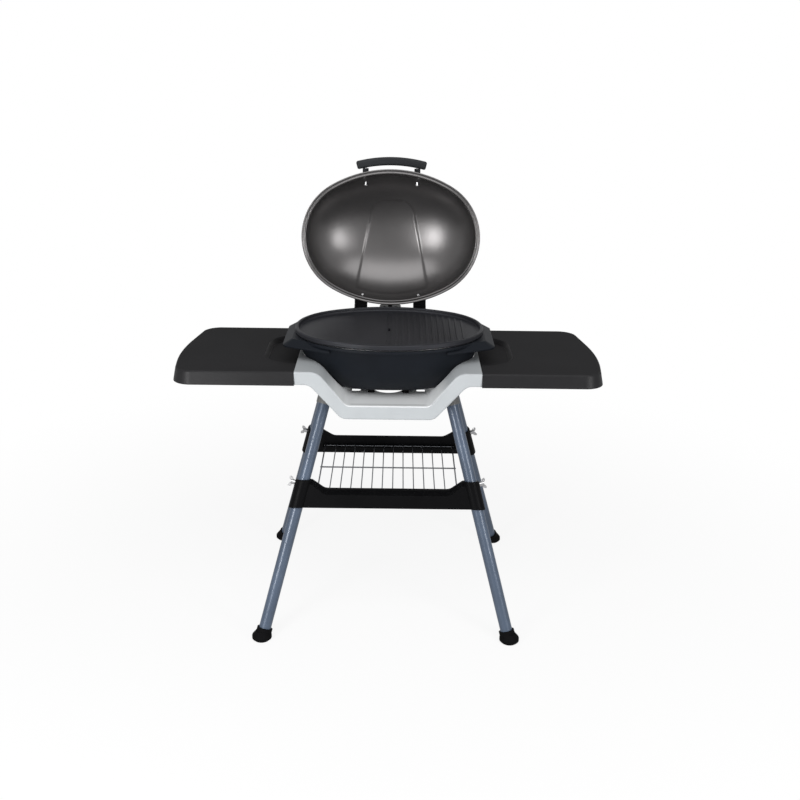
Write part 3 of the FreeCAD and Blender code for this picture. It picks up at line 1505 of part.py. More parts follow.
for side_name, side_sign in SIDES.items():
    for end_name, end_sign in ENDS.items():
        corner = f"{end_name}_{side_name}"
        keep(make_leg(side_sign, end_sign), f"leg_{corner}")
        keep(make_foot(side_sign, end_sign), f"foot_{corner}")
        keep(make_bracket(side_sign, end_sign), f"leg_bracket_{corner}")
        keep(make_wing_screw(side_sign, end_sign), f"wing_screw_{corner}")
keep(make_cradle(), "cradle")
keep(make_bracket_screws(), "bracket_screws")
keep(make_table_screws(), "table_screws")
for side_name, side_sign in SIDES.items():
    keep(make_table(side_sign), f"side_table_{side_name}")
    keep(make_hinge_base(side_sign), f"hinge_base_{side_name}")
for end_name, end_sign in ENDS.items():
    keep(make_bar(end_sign), f"shelf_bar_{end_name}")
keep(make_rack(), "wire_rack")

keep(make_bowl(), "bowl")
keep(make_bowl_feet(), "bowl_feet")
keep(make_liner(), "heat_liner")
keep(make_tray(), "drip_tray")
keep(make_plate(), "grill_plate")
keep(make_element(), "heating_element")
keep(make_clips(), "element_clips")
keep(make_block(), "terminal_block")
keep(make_base_screws(), "hinge_base_screws")
keep(make_pins(), "hinge_pins")

hinge_axis = point("0", "hinge_y", "hinge_height")
opened = Placement(Vector(), Rotation(Vector(1, 0, 0), -measure("lid_open_angle")), hinge_axis)
lid_pieces = [
    (make_lid_shell(), "lid_shell"),
    (make_grip(), "handle_grip"),
    (make_posts(), "handle_posts"),
    (make_lid_screws(handle_screw_axis, f"{handle_screw_length()} - clear_gap", "handle_screw_head",
                     "screws"),
     "handle_screws"),
    (make_lid_screws(leaf_screw_axis, f"{LEAF_SCREW} - clear_gap", "hinge_screw_head", "screws"),
     "hinge_leaf_screws"),
    (make_leaf(-1), "hinge_leaf_left"),
    (make_leaf(1), "hinge_leaf_right"),
]
for piece, label in lid_pieces:
    piece.Placement = opened
    keep(piece, label)

keep(make_control_shell(True), "control_upper_shell")
keep(make_control_shell(False), "control_lower_shell")
keep(make_probe(), "thermostat_probe")
keep(make_contacts(), "contact_sleeves")
keep(make_lamp(), "pilot_lamp")
keep(make_gland(), "cord_gland")
keep(make_knob(), "dial_knob")
keep(make_knob_shaft(), "dial_shaft")

doc.recompute()
faults = [item.Label for item in doc.Objects if {"Invalid", "Error"} & set(item.State)]
for piece in nodes:
    shape = piece.Shape
    if shape.isNull() or not shape.isValid() or not shape.Solids:
        faults.append(piece.Label)
if faults:
    raise RuntimeError(f"these objects did not build: {faults}")

os.makedirs("parts", exist_ok=True)
for piece in nodes:
    piece.Shape.exportStep(f"parts/{piece.Label}.step")
    box = piece.Shape.optimalBoundingBox(False)
    print(f"{piece.Label}: {len(piece.Shape.Solids)} solids, {piece.Shape.Volume / 1000:.1f} cm3, "
          f"x {box.XMin:.1f} {box.XMax:.1f}, y {box.YMin:.1f} {box.YMax:.1f}, "
          f"z {box.ZMin:.1f} {box.ZMax:.1f}")
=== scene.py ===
# %% [markdown]
# # An electric grill on its stand
# The solids of this grill come from a CAD model, already named and jointed. This notebook gives them their
# looks: a camera, a plain studio, a finish for each material, and a few pieces that are better made as
# meshes than as solids. We load the frame first. Nothing we add may make the object bigger.

import math

import bmesh
import bpy
import numpy as np
from mathutils import Matrix, Vector


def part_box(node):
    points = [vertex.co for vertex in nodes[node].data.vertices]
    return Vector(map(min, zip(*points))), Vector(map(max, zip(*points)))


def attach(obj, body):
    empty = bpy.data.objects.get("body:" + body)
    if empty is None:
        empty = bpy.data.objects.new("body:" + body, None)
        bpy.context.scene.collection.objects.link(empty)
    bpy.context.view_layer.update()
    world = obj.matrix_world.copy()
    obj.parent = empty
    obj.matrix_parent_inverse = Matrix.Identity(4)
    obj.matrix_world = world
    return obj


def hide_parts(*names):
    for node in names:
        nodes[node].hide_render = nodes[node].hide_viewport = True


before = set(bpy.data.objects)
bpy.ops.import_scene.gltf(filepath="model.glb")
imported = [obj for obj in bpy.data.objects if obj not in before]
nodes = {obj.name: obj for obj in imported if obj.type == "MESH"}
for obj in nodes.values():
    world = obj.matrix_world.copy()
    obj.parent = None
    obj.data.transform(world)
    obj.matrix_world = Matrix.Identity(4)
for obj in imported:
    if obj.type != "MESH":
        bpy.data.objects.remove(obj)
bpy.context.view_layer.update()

# %% [markdown]
# ## The camera
# A camera can be placed by eye, or worked out from the picture. Here the tables' edges, the legs
# and the lid's rim were matched to their known places, which gave a position, three angles and a
# focal length. We build the camera's axes from those angles, because a matrix shows plainly which
# way is right, up and back.

# %% Place the camera
CAMERA_SPOT = Vector((0.0250, -2.7078, 1.5585))
YAW, PITCH, ROLL = (math.radians(a) for a in (0.13, 19.95, -0.72))
FOCAL_PIXELS, IMAGE_PIXELS, SENSOR = 1052.3, 800, 36.0

forward = Vector((math.sin(YAW) * math.cos(PITCH), math.cos(YAW) * math.cos(PITCH), -math.sin(PITCH)))
level_right = Vector((math.cos(YAW), -math.sin(YAW), 0))
level_up = level_right.cross(forward)
right = level_right * math.cos(ROLL) - level_up * math.sin(ROLL)
up = level_right * math.sin(ROLL) + level_up * math.cos(ROLL)

camera_data = bpy.data.cameras.new("camera")
camera_data.sensor_width = SENSOR
camera_data.lens = FOCAL_PIXELS / IMAGE_PIXELS * SENSOR
camera = bpy.data.objects.new("camera", camera_data)
turn = Matrix((right, up, -forward)).transposed()
camera.matrix_world = Matrix.Translation(CAMERA_SPOT) @ turn.to_4x4()
bpy.context.scene.collection.objects.link(camera)
bpy.context.scene.camera = camera
print("lens in millimetres:", round(camera_data.lens, 2))

# %% [markdown]
# ## Writing shader maths as Python
# A material is a graph of nodes. Wiring one by hand takes a dozen lines for a simple sum, so we
# wrap a socket in a small class: adding or multiplying two wrapped sockets adds the Math node for
# us.

# %% A socket that does sums
class Wire:
    """One output socket of a finish; sums with it add Math nodes."""

    def __init__(self, finish, socket):
        self.finish = finish
        self.socket = socket

    def maths(self, operation, first, second=0.0):
        return self.finish.node("ShaderNodeMath", {"operation": operation}, {0: first, 1: second})

    def __add__(self, other):
        return self.maths("ADD", self, other)

    def __sub__(self, other):
        return self.maths("SUBTRACT", self, other)

    def __rsub__(self, other):
        return self.maths("SUBTRACT", other, self)

    def __mul__(self, other):
        return self.maths("MULTIPLY", self, other)

    def __truediv__(self, other):
        return self.maths("DIVIDE", self, other)

    __radd__ = __add__
    __rmul__ = __mul__

    def larger(self, other):
        return self.maths("MAXIMUM", self, other)

    def without_sign(self):
        return self.maths("ABSOLUTE", self)

    def between(self, low, high):
        """0 below low, 1 above high, and a smooth step from one to the other."""
        return self.finish.node("ShaderNodeMapRange", {"interpolation_type": "SMOOTHSTEP"},
                                {0: self, 1: low, 2: high})


print("sockets can do sums")

# %% [markdown]
# Everything else comes from one method of a second class. It sets a node's options first and
# then fills its sockets, because some options change which sockets a node has. The short methods
# below it stand for the nodes that we need most.

# %% A finish that makes nodes
class Finish:
    """A node tree with one method that makes any node."""

    def __init__(self, owner):
        owner.use_nodes = True
        self.owner = owner
        self.tree = owner.node_tree

    def node(self, kind, settings=None, sockets=None, output=0):
        made = self.tree.nodes.new(kind)
        for name, value in (settings or {}).items():
            setattr(made, name, value)
        for name, value in (sockets or {}).items():
            self.join(value, made.inputs[name])
        return Wire(self, made.outputs[output]) if made.outputs else made

    def join(self, value, socket):
        if isinstance(value, Wire):
            self.tree.links.new(value.socket, socket)
        else:
            socket.default_value = value

    def place(self):
        """Where a point is on its own piece, in metres."""
        return self.node("ShaderNodeTexCoord", output="Object")

    def true_normal(self):
        return self.node("ShaderNodeNewGeometry", output="Normal")

    def noise(self, scale, detail):
        """Smooth noise between 0 and 1, fixed to the piece; scale is in features per metre."""
        return self.node("ShaderNodeTexNoise", {"noise_dimensions": "3D"},
                         {"Vector": self.place(), "Scale": scale, "Detail": detail})

    def blend(self, share, first, second):
        """A colour that goes from first to second as share goes from 0 to 1."""
        return self.node("ShaderNodeMix", {"data_type": "RGBA"}, {0: share, 6: first, 7: second}, output=2)


def rgba(red, green, blue):
    return (red, green, blue, 1.0)


def grey(level):
    return rgba(level, level, level)


print("shader helpers ready")

# %% [markdown]
# ## The studio
# The real picture was taken on white. Turning lamps up until the floor burns out would also
# bleach the grill, so the lamps stay at a plain level. Instead the floor and the world show
# white to the camera and a pale tone to reflections, and act as ordinary pale surfaces for the
# rest of the light.

# %% A backdrop's tone for each kind of ray
WHITE = grey(1.0)
WORLD_LIGHT = 0.32
REFLECTED_LIGHT = 0.56


def backdrop_tone(finish):
    """White to the camera, pale to mirrored and clear paths, and dimmer for the rest of the light."""
    camera_ray = finish.node("ShaderNodeLightPath", output="Is Camera Ray")
    mirrored = finish.node("ShaderNodeLightPath", output="Is Glossy Ray").larger(
        finish.node("ShaderNodeLightPath", output="Is Transmission Ray"))
    tone = finish.blend(mirrored, grey(WORLD_LIGHT), grey(REFLECTED_LIGHT))
    return finish.blend(camera_ray, tone, WHITE), camera_ray.larger(mirrored)


print("light from the world:", WORLD_LIGHT, "in reflections:", REFLECTED_LIGHT)

# %% [markdown]
# Near the grill the floor keeps part of its own shading, which leaves a soft shadow under the
# feet. Further off it fades to white, so that no horizon shows. The distance from the middle
# drives that fade, because it needs no picture and has no edge.

# %% The floor
FLOOR_HALF, FLOOR_GREY = 30.0, 0.9
NEAR_WHITENESS = 0.88
FADE_START, FADE_END = 0.5, 2.0

floor_mesh = bpy.data.meshes.new("studio_floor")
floor_corners = [(x * FLOOR_HALF, y * FLOOR_HALF, 0) for x, y in ((-1, -1), (1, -1), (1, 1), (-1, 1))]
floor_mesh.from_pydata(floor_corners, [], [(0, 1, 2, 3)])
floor = bpy.data.objects.new("studio_floor", floor_mesh)
bpy.context.scene.collection.objects.link(floor)

floor_paint = Finish(bpy.data.materials.new("floor_paint"))
floor_paint.tree.nodes.clear()
tone, seen = backdrop_tone(floor_paint)
plain = floor_paint.node("ShaderNodeBsdfDiffuse", sockets={"Color": grey(FLOOR_GREY)})
glow = floor_paint.node("ShaderNodeEmission", sockets={"Color": tone, "Strength": 1.0})
away = floor_paint.node("ShaderNodeVectorMath", {"operation": "LENGTH"}, {0: floor_paint.place()},
                        output="Value")
whiteness = NEAR_WHITENESS + (1.0 - NEAR_WHITENESS) * away.between(FADE_START, FADE_END)
mixed = floor_paint.node("ShaderNodeMixShader", sockets={0: seen * whiteness, 1: plain, 2: glow})
floor_paint.node("ShaderNodeOutputMaterial", sockets={"Surface": mixed})
floor_mesh.materials.append(floor_paint.owner)
print("floor half width in metres:", FLOOR_HALF)

# %% [markdown]
# The world is the same backdrop without a surface. The view transform is set to Standard, because
# the default one would turn the white to a pale grey.

# %% The world
world = bpy.data.worlds.new("studio")
bpy.context.scene.world = world
sky = Finish(world)
sky.tree.nodes.clear()
tone, seen = backdrop_tone(sky)
sky.node("ShaderNodeOutputWorld",
         sockets={"Surface": sky.node("ShaderNodeBackground", sockets={"Color": tone, "Strength": 1.0})})
bpy.context.scene.view_settings.view_transform = "Standard"
print("view transform:", bpy.context.scene.view_settings.view_transform)

# %% [markdown]
# ## Lamps
# Two upright softboxes at the height of the open lid make the two glows inside it: a ray from the
# camera that bounces off the hollow dome at a glow points back across to its lamp. The left one
# is the key and also lights the front of the left table. A wide panel, high up and in front, lights
# what faces up and reaches into the saddle under the bowl.

# %% Softboxes
LAMPS = {
    # name: (place, aims at, width, height, brightness)
    "left_softbox": ((-1.30, -2.00, 0.80), (0, 0.1, 0.80), 0.48, 0.85, 19.0),
    "right_softbox": ((1.55, -1.70, 0.92), (0, 0.1, 0.85), 0.50, 0.75, 12.0),
    "high_panel": ((0.0, -1.9, 3.3), (0, -0.1, 0.65), 4.0, 2.0, 2.5),
}
for name, (place, target, width, tall, brightness) in LAMPS.items():
    lamp_data = bpy.data.lights.new(name, "AREA")
    lamp_data.shape = "RECTANGLE"
    lamp_data.size = width
    lamp_data.size_y = tall
    lamp_data.energy = brightness * math.pi * width * tall
    lamp = bpy.data.objects.new(name, lamp_data)
    lamp.location = place
    lamp.rotation_euler = (Vector(target) - Vector(place)).to_track_quat("-Z", "Y").to_euler()
    bpy.context.scene.collection.objects.link(lamp)
    print(name, "watts:", round(lamp_data.energy, 1))

# %% [markdown]
# ## Finishes
# Every surface here is a coating or a moulding, and none is one flat colour when seen close to.
# Four things make such a surface believable: slow changes in tone, a fine grain that breaks up
# the highlights, edges that are a little round, and a paler rub where those edges are touched.
# A Bevel node gives a normal that is rounded near an edge. It softens the shading without new
# geometry, and where it departs from the true normal there is an edge to wear. One function holds
# what all the finishes share.

# %% A coated or moulded surface
# each pair is where a smooth step starts and where it is complete
EDGE_TURN = (0.01, 0.15)     # how far the rounded normal leaves the true one
WEAR_PATCHES = (0.4, 0.7)    # the noise that breaks up the rub
TONE_PATCHES = (0.35, 0.65)  # the noise behind the slow changes in tone
TOP_FACING = (0.6, 0.95)     # how far a face points up before it counts as a top
WEAR_SCALE = 60
RUBBED_GAIN, RUBBED_LIFT = 1.5, 0.02
MEAN_SPREAD = 0.75           # what the two noises add on average, taken off again


def surface(name, tone, rough, grain, depth, darker=0.82, edge=0.0012, metallic=0.0, coat=0.0,
            specular=0.5, wear=0.3, tone_scale=9.0, rough_spread=0.1, top_rough=None):
    """Tone varies slowly, the grain is bumped, and the edges are rounded in the shading and rubbed."""
    finish = Finish(bpy.data.materials.new(name))
    shader = finish.tree.nodes["Principled BSDF"]
    slow = finish.noise(tone_scale, detail=4.0)
    fine = finish.noise(grain, detail=2.0)
    rounded = finish.node("ShaderNodeBevel", {"samples": 4}, {"Radius": edge})
    likeness = finish.node("ShaderNodeVectorMath", {"operation": "DOT_PRODUCT"},
                           {0: rounded, 1: finish.true_normal()}, output="Value")
    patches = finish.noise(WEAR_SCALE, detail=5.0).between(*WEAR_PATCHES)
    rubbed = (1.0 - likeness).between(*EDGE_TURN) * patches * wear
    body_tone = finish.blend(slow.between(*TONE_PATCHES), rgba(*[c * darker for c in tone]), rgba(*tone))
    rubbed_tone = rgba(*[min(c * RUBBED_GAIN + RUBBED_LIFT, 1.0) for c in tone])
    finish.join(finish.blend(rubbed, body_tone, rubbed_tone), shader.inputs["Base Color"])
    if top_rough is not None:
        facing_up = finish.node("ShaderNodeSeparateXYZ", sockets={0: finish.true_normal()}, output="Z")
        rough = rough + (top_rough - rough) * facing_up.between(*TOP_FACING)
    finish.join(rough + slow * rough_spread + fine * (rough_spread / 2) - rough_spread * MEAN_SPREAD,
                shader.inputs["Roughness"])
    bump = finish.node("ShaderNodeBump", sockets={"Strength": 1.0, "Distance": depth, "Height": fine,
                                                  "Normal": rounded})
    finish.join(bump, shader.inputs["Normal"])
    finish.join(metallic, shader.inputs["Metallic"])
    finish.join(coat, shader.inputs["Coat Weight"])
    finish.join(specular, shader.inputs["Specular IOR Level"])
    print("finish:", name)
    return finish


def put_on(finish, *names):
    """Give a finish to CAD nodes."""
    for name in names:
        mesh = nodes[name].data
        mesh.materials.clear()
        mesh.materials.append(finish.owner)


print("nodes that wait for a finish:", len(nodes))

# %% [markdown]
# The saddle is a smooth pale moulding. Its grain is so fine that only a softness in the
# highlights shows, so the bump is shallow and the roughness does most of the work.

# %% The saddle
pale_moulding = surface("pale_moulding", (0.45, 0.474, 0.49), rough=0.46, grain=900, depth=0.00002,
                        darker=0.95, edge=0.003, specular=0.4, wear=0.1)
put_on(pale_moulding, "cradle")

# %% [markdown]
# Under the bowl the real saddle looks light, but little of our light reaches in there. A stronger lamp would
# bleach the bands, so light is painted into the colour instead: the finish is paler inside, a painted light.
# A painted shade line runs where the floor meets the bands and stands in for the shade in that corner. Both
# come from where a point lies and which way it faces, so they need no image.

# %% Painted light and shade inside the saddle
FACING_UP = (0.3, 0.7)
# painted light: the paler tone inside the saddle, and the heights over which it fades out
PAINTED_LIGHT_TONE, PAINTED_LIGHT_LOW, PAINTED_LIGHT_HIGH = rgba(0.80, 0.82, 0.83), 0.655, 0.700
# painted shade: the dark line where the floor meets the bands, with its tone, share and place
SHADE_LINE_TONE, SHADE_LINE_SHARE = grey(0.28), 0.35
SHADE_LINE_Y, SHADE_LINE_WIDTH, SHADE_LINE_HALF, SHADE_LINE_FADE = 0.189, 0.008, 0.103, 0.012
FLOOR_LOW, FLOOR_HIGH = 0.632, 0.635


def paint_light_and_shade_inside(finish):
    """Painted light inside the saddle, with a painted shade line where its floor meets the bands."""
    shader = finish.tree.nodes["Principled BSDF"]
    outer_tone = Wire(finish, shader.inputs["Base Color"].links[0].from_socket)
    spot = finish.place()
    x, y, z = (finish.node("ShaderNodeSeparateXYZ", sockets={0: spot}, output=axis) for axis in "XYZ")
    normal_z = finish.node("ShaderNodeSeparateXYZ", sockets={0: finish.true_normal()}, output="Z")
    facing_up = normal_z.between(*FACING_UP)
    # painted light: paler where a face points up below the height of the bands
    inside = facing_up * (1.0 - z.between(PAINTED_LIGHT_LOW, PAINTED_LIGHT_HIGH))
    # painted shade: a soft dark line along the floor's front edge, fading at both ends
    off = (y.without_sign() - SHADE_LINE_Y) / SHADE_LINE_WIDTH
    shade_line = 1.0 - (off * off).between(0.0, 1.0)
    ends = 1.0 - x.without_sign().between(SHADE_LINE_HALF - SHADE_LINE_FADE, SHADE_LINE_HALF)
    on_floor = facing_up * (1.0 - z.between(FLOOR_LOW, FLOOR_HIGH))
    lit_inside_tone = finish.blend(inside, outer_tone, PAINTED_LIGHT_TONE)
    finish.join(finish.blend(shade_line * ends * on_floor * SHADE_LINE_SHARE, lit_inside_tone, SHADE_LINE_TONE),
                shader.inputs["Base Color"])


# paints light inside the saddle and shade along the floor's front edge
paint_light_and_shade_inside(pale_moulding)
print("paler below a height of", PAINTED_LIGHT_HIGH, "metres")

# %% [markdown]
# The tables are charcoal. Their tops are sparked to a dull grain that hides scratches, and their sides are
# left smoother, so we let the roughness follow the way a face points. The shelf's bars are blacker and
# plain. The brackets under the saddle are moulded in the saddle's pale plastic, but they are given a mid
# grey: painted shade for the shadow that the saddle casts on them. The handle and the control at the rear
# are near black.

# %% Tables, bars, brackets, handle and control
CORNERS = [f"{end}_{side}" for side in ("left", "right") for end in ("front", "rear")]

table_moulding = surface("table_moulding", (0.015, 0.0147, 0.016), rough=0.42, grain=1500, depth=0.00005,
                         edge=0.0025, specular=0.2, top_rough=0.85)
put_on(table_moulding, "side_table_left", "side_table_right")

bar_moulding = surface("bar_moulding", (0.004, 0.004, 0.0045), rough=0.42, grain=1300, depth=0.00004,
                       edge=0.002, specular=0.05)
put_on(bar_moulding, "shelf_bar_front", "shelf_bar_rear")

# painted shade: the brackets' pale plastic darkened to a mid grey for the saddle's shadow
shaded_bracket_moulding = surface("shaded_bracket_moulding", (0.18, 0.18, 0.178), rough=0.5, grain=1300, depth=0.00004,
                           specular=0.25)
put_on(shaded_bracket_moulding, *[f"leg_bracket_{c}" for c in CORNERS])

handle_moulding = surface("handle_moulding", (0.022, 0.024, 0.027), rough=0.5, grain=1500, depth=0.00004,
                          edge=0.002, specular=0.2)
put_on(handle_moulding, "handle_grip", "handle_posts")

control_moulding = surface("control_moulding", (0.012, 0.012, 0.013), rough=0.4, grain=1600,
                           depth=0.00005, edge=0.001, specular=0.25)
put_on(control_moulding, "control_upper_shell", "control_lower_shell", "dial_knob")

# %% [markdown]
# The legs are powder-coated tube. Powder coat has a faint orange peel, wider than the grain of a
# moulding, and a sheen that draws one long light streak down the tube. The bowl is enamelled and
# almost black, with a blue cast. The plate's non-stick coat is slightly metallic. The lid's coat
# is more so, and smooth enough to carry the two soft glows.

# %% Legs, bowl, plate, lid and hinges
leg_coat = surface("leg_coat", (0.082, 0.112, 0.165), rough=0.36, grain=420, depth=0.00003, metallic=0.15,
                   coat=0.15)
put_on(leg_coat, *[f"leg_{c}" for c in CORNERS])

bowl_enamel = surface("bowl_enamel", (0.0075, 0.0095, 0.0135), rough=0.45, grain=700, depth=0.00003,
                      edge=0.003, specular=0.12)
put_on(bowl_enamel, "bowl")

hinge_coat = surface("hinge_coat", (0.004, 0.004, 0.0045), rough=0.45, grain=800, depth=0.00003,
                     specular=0.06)
put_on(hinge_coat, "hinge_base_left", "hinge_base_right", "hinge_leaf_left", "hinge_leaf_right")

plate_coat = surface("plate_coat", (0.024, 0.025, 0.03), rough=0.42, grain=1100, depth=0.00006,
                     metallic=0.2, specular=0.25)
put_on(plate_coat, "grill_plate")

lid_coat = surface("lid_coat", (0.145, 0.140, 0.140), rough=0.31, grain=600, depth=0.00002, darker=0.92,
                   metallic=0.8, specular=0.3, wear=0.15)

# %% [markdown]
# Plated and bare metal parts are mostly reflection. Their colour stays almost even, and the
# roughness carries the handling marks. Rubber is the dullest of all, and the lamp's red lens has a
# clear coat.

# %% Metal, rubber, ceramic and lamp
plated = surface("plated_steel", (0.68, 0.68, 0.69), rough=0.3, grain=1200, depth=0.00001, edge=0.0005,
                 metallic=1.0)
put_on(plated, "hinge_pins", "element_clips", "dial_shaft", *[f"wing_screw_{c}" for c in CORNERS])

rack_wire = surface("rack_wire", (0.30, 0.31, 0.33), rough=0.3, grain=900, depth=0.00001, edge=0.0004,
                    metallic=1.0)
put_on(rack_wire, "wire_rack")

liner_sheet = surface("liner_sheet", (0.6, 0.6, 0.6), rough=0.35, grain=500, depth=0.00002, metallic=1.0)
put_on(liner_sheet, "heat_liner", "drip_tray")

element_tube = surface("element_tube", (0.32, 0.3, 0.28), rough=0.45, grain=900, depth=0.00002,
                       darker=0.68, metallic=1.0)
put_on(element_tube, "heating_element", "thermostat_probe", "contact_sleeves")

rubber = surface("rubber", (0.005, 0.005, 0.0055), rough=0.65, grain=900, depth=0.00008, edge=0.0015,
                 specular=0.04)
put_on(rubber, "bowl_feet", "cord_gland", *[f"foot_{c}" for c in CORNERS])

ceramic = surface("ceramic", (0.72, 0.68, 0.6), rough=0.6, grain=1500, depth=0.00004)
put_on(ceramic, "terminal_block")

lamp_lens = surface("lamp_lens", (0.55, 0.03, 0.02), rough=0.15, grain=500, depth=0.00001, coat=0.4)
put_on(lamp_lens, "pilot_lamp")

mark_paint = surface("mark_paint", (0.62, 0.62, 0.6), rough=0.5, grain=1500, depth=0.00001, wear=0.0)

# %% [markdown]
# ## Pieces from rings
# Most of what we add is a stack of closed rings: a lid is a stack of ovals, a screw a stack of
# circles. Joining each ring to the next gives a clean closed skin, with no booleans to go wrong.
# Normals are then turned outwards, and edges sharper than a set angle stay crisp.

# %% Skins, and pieces that ride
SHARP_ANGLE = math.radians(38)


def skin(rings):
    """Points and faces of one closed skin; the first and the last ring are filled."""
    count = len(rings[0])
    points = [spot for ring in rings for spot in ring]
    last = len(points) - count
    faces = [tuple(range(count)), tuple(range(last, last + count))]
    for start in range(0, last, count):
        for k in range(count):
            after = (k + 1) % count
            faces.append((start + k, start + after, start + count + after, start + count + k))
    return points, faces


def make_piece(name, skins, finish, body, replaced=()):
    """One object made of closed skins, riding on a body and standing for CAD nodes."""
    points, faces = [], []
    for skin_points, skin_faces in skins:
        first = len(points)
        points += skin_points
        faces += [tuple(first + i for i in face) for face in skin_faces]
    mesh = bpy.data.meshes.new(name)
    mesh.from_pydata(points, [], faces)
    shape = bmesh.new()
    shape.from_mesh(mesh)
    bmesh.ops.recalc_face_normals(shape, faces=shape.faces)
    shape.to_mesh(mesh)
    shape.free()
    mesh.shade_smooth()
    mesh.set_sharp_from_angle(angle=SHARP_ANGLE)
    mesh.materials.append(finish.owner)
    piece = bpy.data.objects.new(name, mesh)
    bpy.context.scene.collection.objects.link(piece)
    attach(piece, body)
    for node in replaced:
        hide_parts(node)
    print(name, "skins:", len(skins), "faces:", len(faces))


# %% [markdown]
# ## The lid
# The lid is a pressed dome with a rolled rim, and a broad tongue is pressed into it from the
# hinge side. A CAD loft gives the dome but not the soft step of the tongue. A mesh of rings does:
# each ring is the same four-arc oval, and a point is pushed along the dome's normal wherever it
# lies on the tongue.

# %% A point of the four-arc oval
DOME_OVAL = (0.239, 0.179, 0.157)  # half length, half width and end radius at the rim


def oval(half_length, half_width, end_radius, theta):
    """The point of a four-arc oval whose outward normal has the angle theta."""
    run = half_length - end_radius
    side = (run ** 2 + half_width ** 2 - end_radius ** 2) / (2 * (half_width - end_radius))
    drop = side - half_width
    across, along = math.cos(theta), math.sin(theta)
    if abs(along) * run < abs(across) * drop:
        return math.copysign(run, across) + end_radius * across, end_radius * along
    return side * across, side * along - math.copysign(drop, along)


def smooth(low, high, value):
    share = min(max((value - low) / (high - low), 0.0), 1.0)
    return share * share * (3 - 2 * share)


print("end of the rim:", oval(*DOME_OVAL, 0.0))

# %% [markdown]
# Seen from above, the tongue has a rounded end towards the front and sides that spread towards
# the hinge. We ask of each point of the dome whether it lies inside that outline. A soft step
# stands for the radius that a press leaves, and near the rim the tongue fades out.

# %% Shape of the dome and its tongue
RING_POINTS = 400
RIM_HEIGHT, DOME_DEPTH = 0.789, 0.1190
TONGUE_END, TONGUE_SHOULDER, TONGUE_SLOPE = -0.095, -0.045, 0.20
TONGUE_TIP_HALF, TONGUE_SHOULDER_HALF = 0.018, 0.066
TONGUE_MIDDLE, TONGUE_STEP, TONGUE_EDGE = 0.004, 0.0024, 0.0045
RIM_FADE = (0.036, 0.052)  # heights above the rim


def tongue_share(x, y):
    """1 on the pressed tongue, 0 off it, with a soft edge."""
    if y < TONGUE_SHOULDER:
        bend = min((TONGUE_SHOULDER - y) / (TONGUE_SHOULDER - TONGUE_END), 1.0)
        half = TONGUE_TIP_HALF + (TONGUE_SHOULDER_HALF - TONGUE_TIP_HALF) * math.sqrt(1 - bend ** 2)
    else:
        half = TONGUE_SHOULDER_HALF + TONGUE_SLOPE * (y - TONGUE_SHOULDER)
    return smooth(0.0, TONGUE_EDGE, half - abs(x - TONGUE_MIDDLE)) * smooth(0.0, TONGUE_EDGE, y - TONGUE_END)


def dome_ring(tilt, inset):
    """A ring of the dome; tilt goes from 0 at the rim to a right angle at the top."""
    sizes = [size - inset for size in DOME_OVAL]
    depth = DOME_DEPTH - inset
    ring = []
    for k in range(RING_POINTS):
        x, y = oval(*sizes, 2 * math.pi * k / RING_POINTS)
        spot = Vector((x * math.cos(tilt), y * math.cos(tilt), depth * math.sin(tilt)))
        normal = Vector((spot.x / sizes[0] ** 2, spot.y / sizes[1] ** 2, spot.z / depth ** 2)).normalized()
        press = TONGUE_STEP * tongue_share(spot.x, spot.y) * smooth(*RIM_FADE, spot.z)
        ring.append(spot + normal * press + Vector((0, 0, RIM_HEIGHT)))
    return ring


beside = 2 * TONGUE_SHOULDER_HALF
print("tongue at the middle:", tongue_share(0.0, 0.0), "beside it:", tongue_share(beside, 0.0))

# %% [markdown]
# The lid is drawn shut, where its shape is easy to state, and then swung open about the hinge.
# One closed skin goes down the outside, round the rolled rim and up the inside, so the sheet has
# a real thickness. The inside gets more rings, because that is the side we see.

# %% Build the lid shut and swing it open
HINGE = Vector((0, 0.203, 0.774))
OPEN_ANGLE = math.radians(-91.8)
LID_WALL = 0.0015
OUTER_RINGS, INNER_RINGS = 44, 90
OUTER_START, INNER_START = 0.034, 0.02
# the rolled rim as steps outwards from the dome and heights above the rim, from outside to inside
RIM_PROFILE = [(0.0006, 0.0042), (0.003, 0.0036), (0.0085, 0.0035), (0.0105, 0.0031), (0.0117, 0.0022),
               (0.0117, 0.0012), (0.0105, 0.0003), (0.0095, 0.0001), (0.0080, 0.0005), (0.0066, 0.0017),
               (0.0048, 0.0020), (0.0034, 0.0013), (0.0024, 0.0003), (0.0014, 0.0001), (0.0002, 0.0004),
               (-0.0008, 0.0012), (-0.0015, 0.0026)]


def rim_ring(outward, lift):
    sizes = [size + outward for size in DOME_OVAL]
    angles = [2 * math.pi * k / RING_POINTS for k in range(RING_POINTS)]
    return [Vector((*oval(*sizes, angle), RIM_HEIGHT + lift)) for angle in angles]


def dome_rings(count, start, inset):
    """Rings from near the top of the dome down to the rim."""
    tilts = [max(math.pi / 2 * (1 - k / count), start) for k in range(1, count)]
    return [dome_ring(tilt, inset) for tilt in tilts]


swing = Matrix.Translation(HINGE) @ Matrix.Rotation(OPEN_ANGLE, 4, "X") @ Matrix.Translation(-HINGE)
lid_rings = dome_rings(OUTER_RINGS, OUTER_START, 0.0)
lid_rings += [rim_ring(*step) for step in RIM_PROFILE]
lid_rings += dome_rings(INNER_RINGS, INNER_START, LID_WALL)[::-1]
lid_rings = [[swing @ spot for spot in ring] for ring in lid_rings]
make_piece("lid", [skin(lid_rings)], lid_coat, "lid", ["lid_shell"])

# %% [markdown]
# ## Screws
# The CAD model carries its screws as plain stepped pins. Real ones have a domed pan head with a
# cross for the driver. To put them in the same places we read each pin's axis, head and length
# from its solid, so that a change in the CAD model carries over.

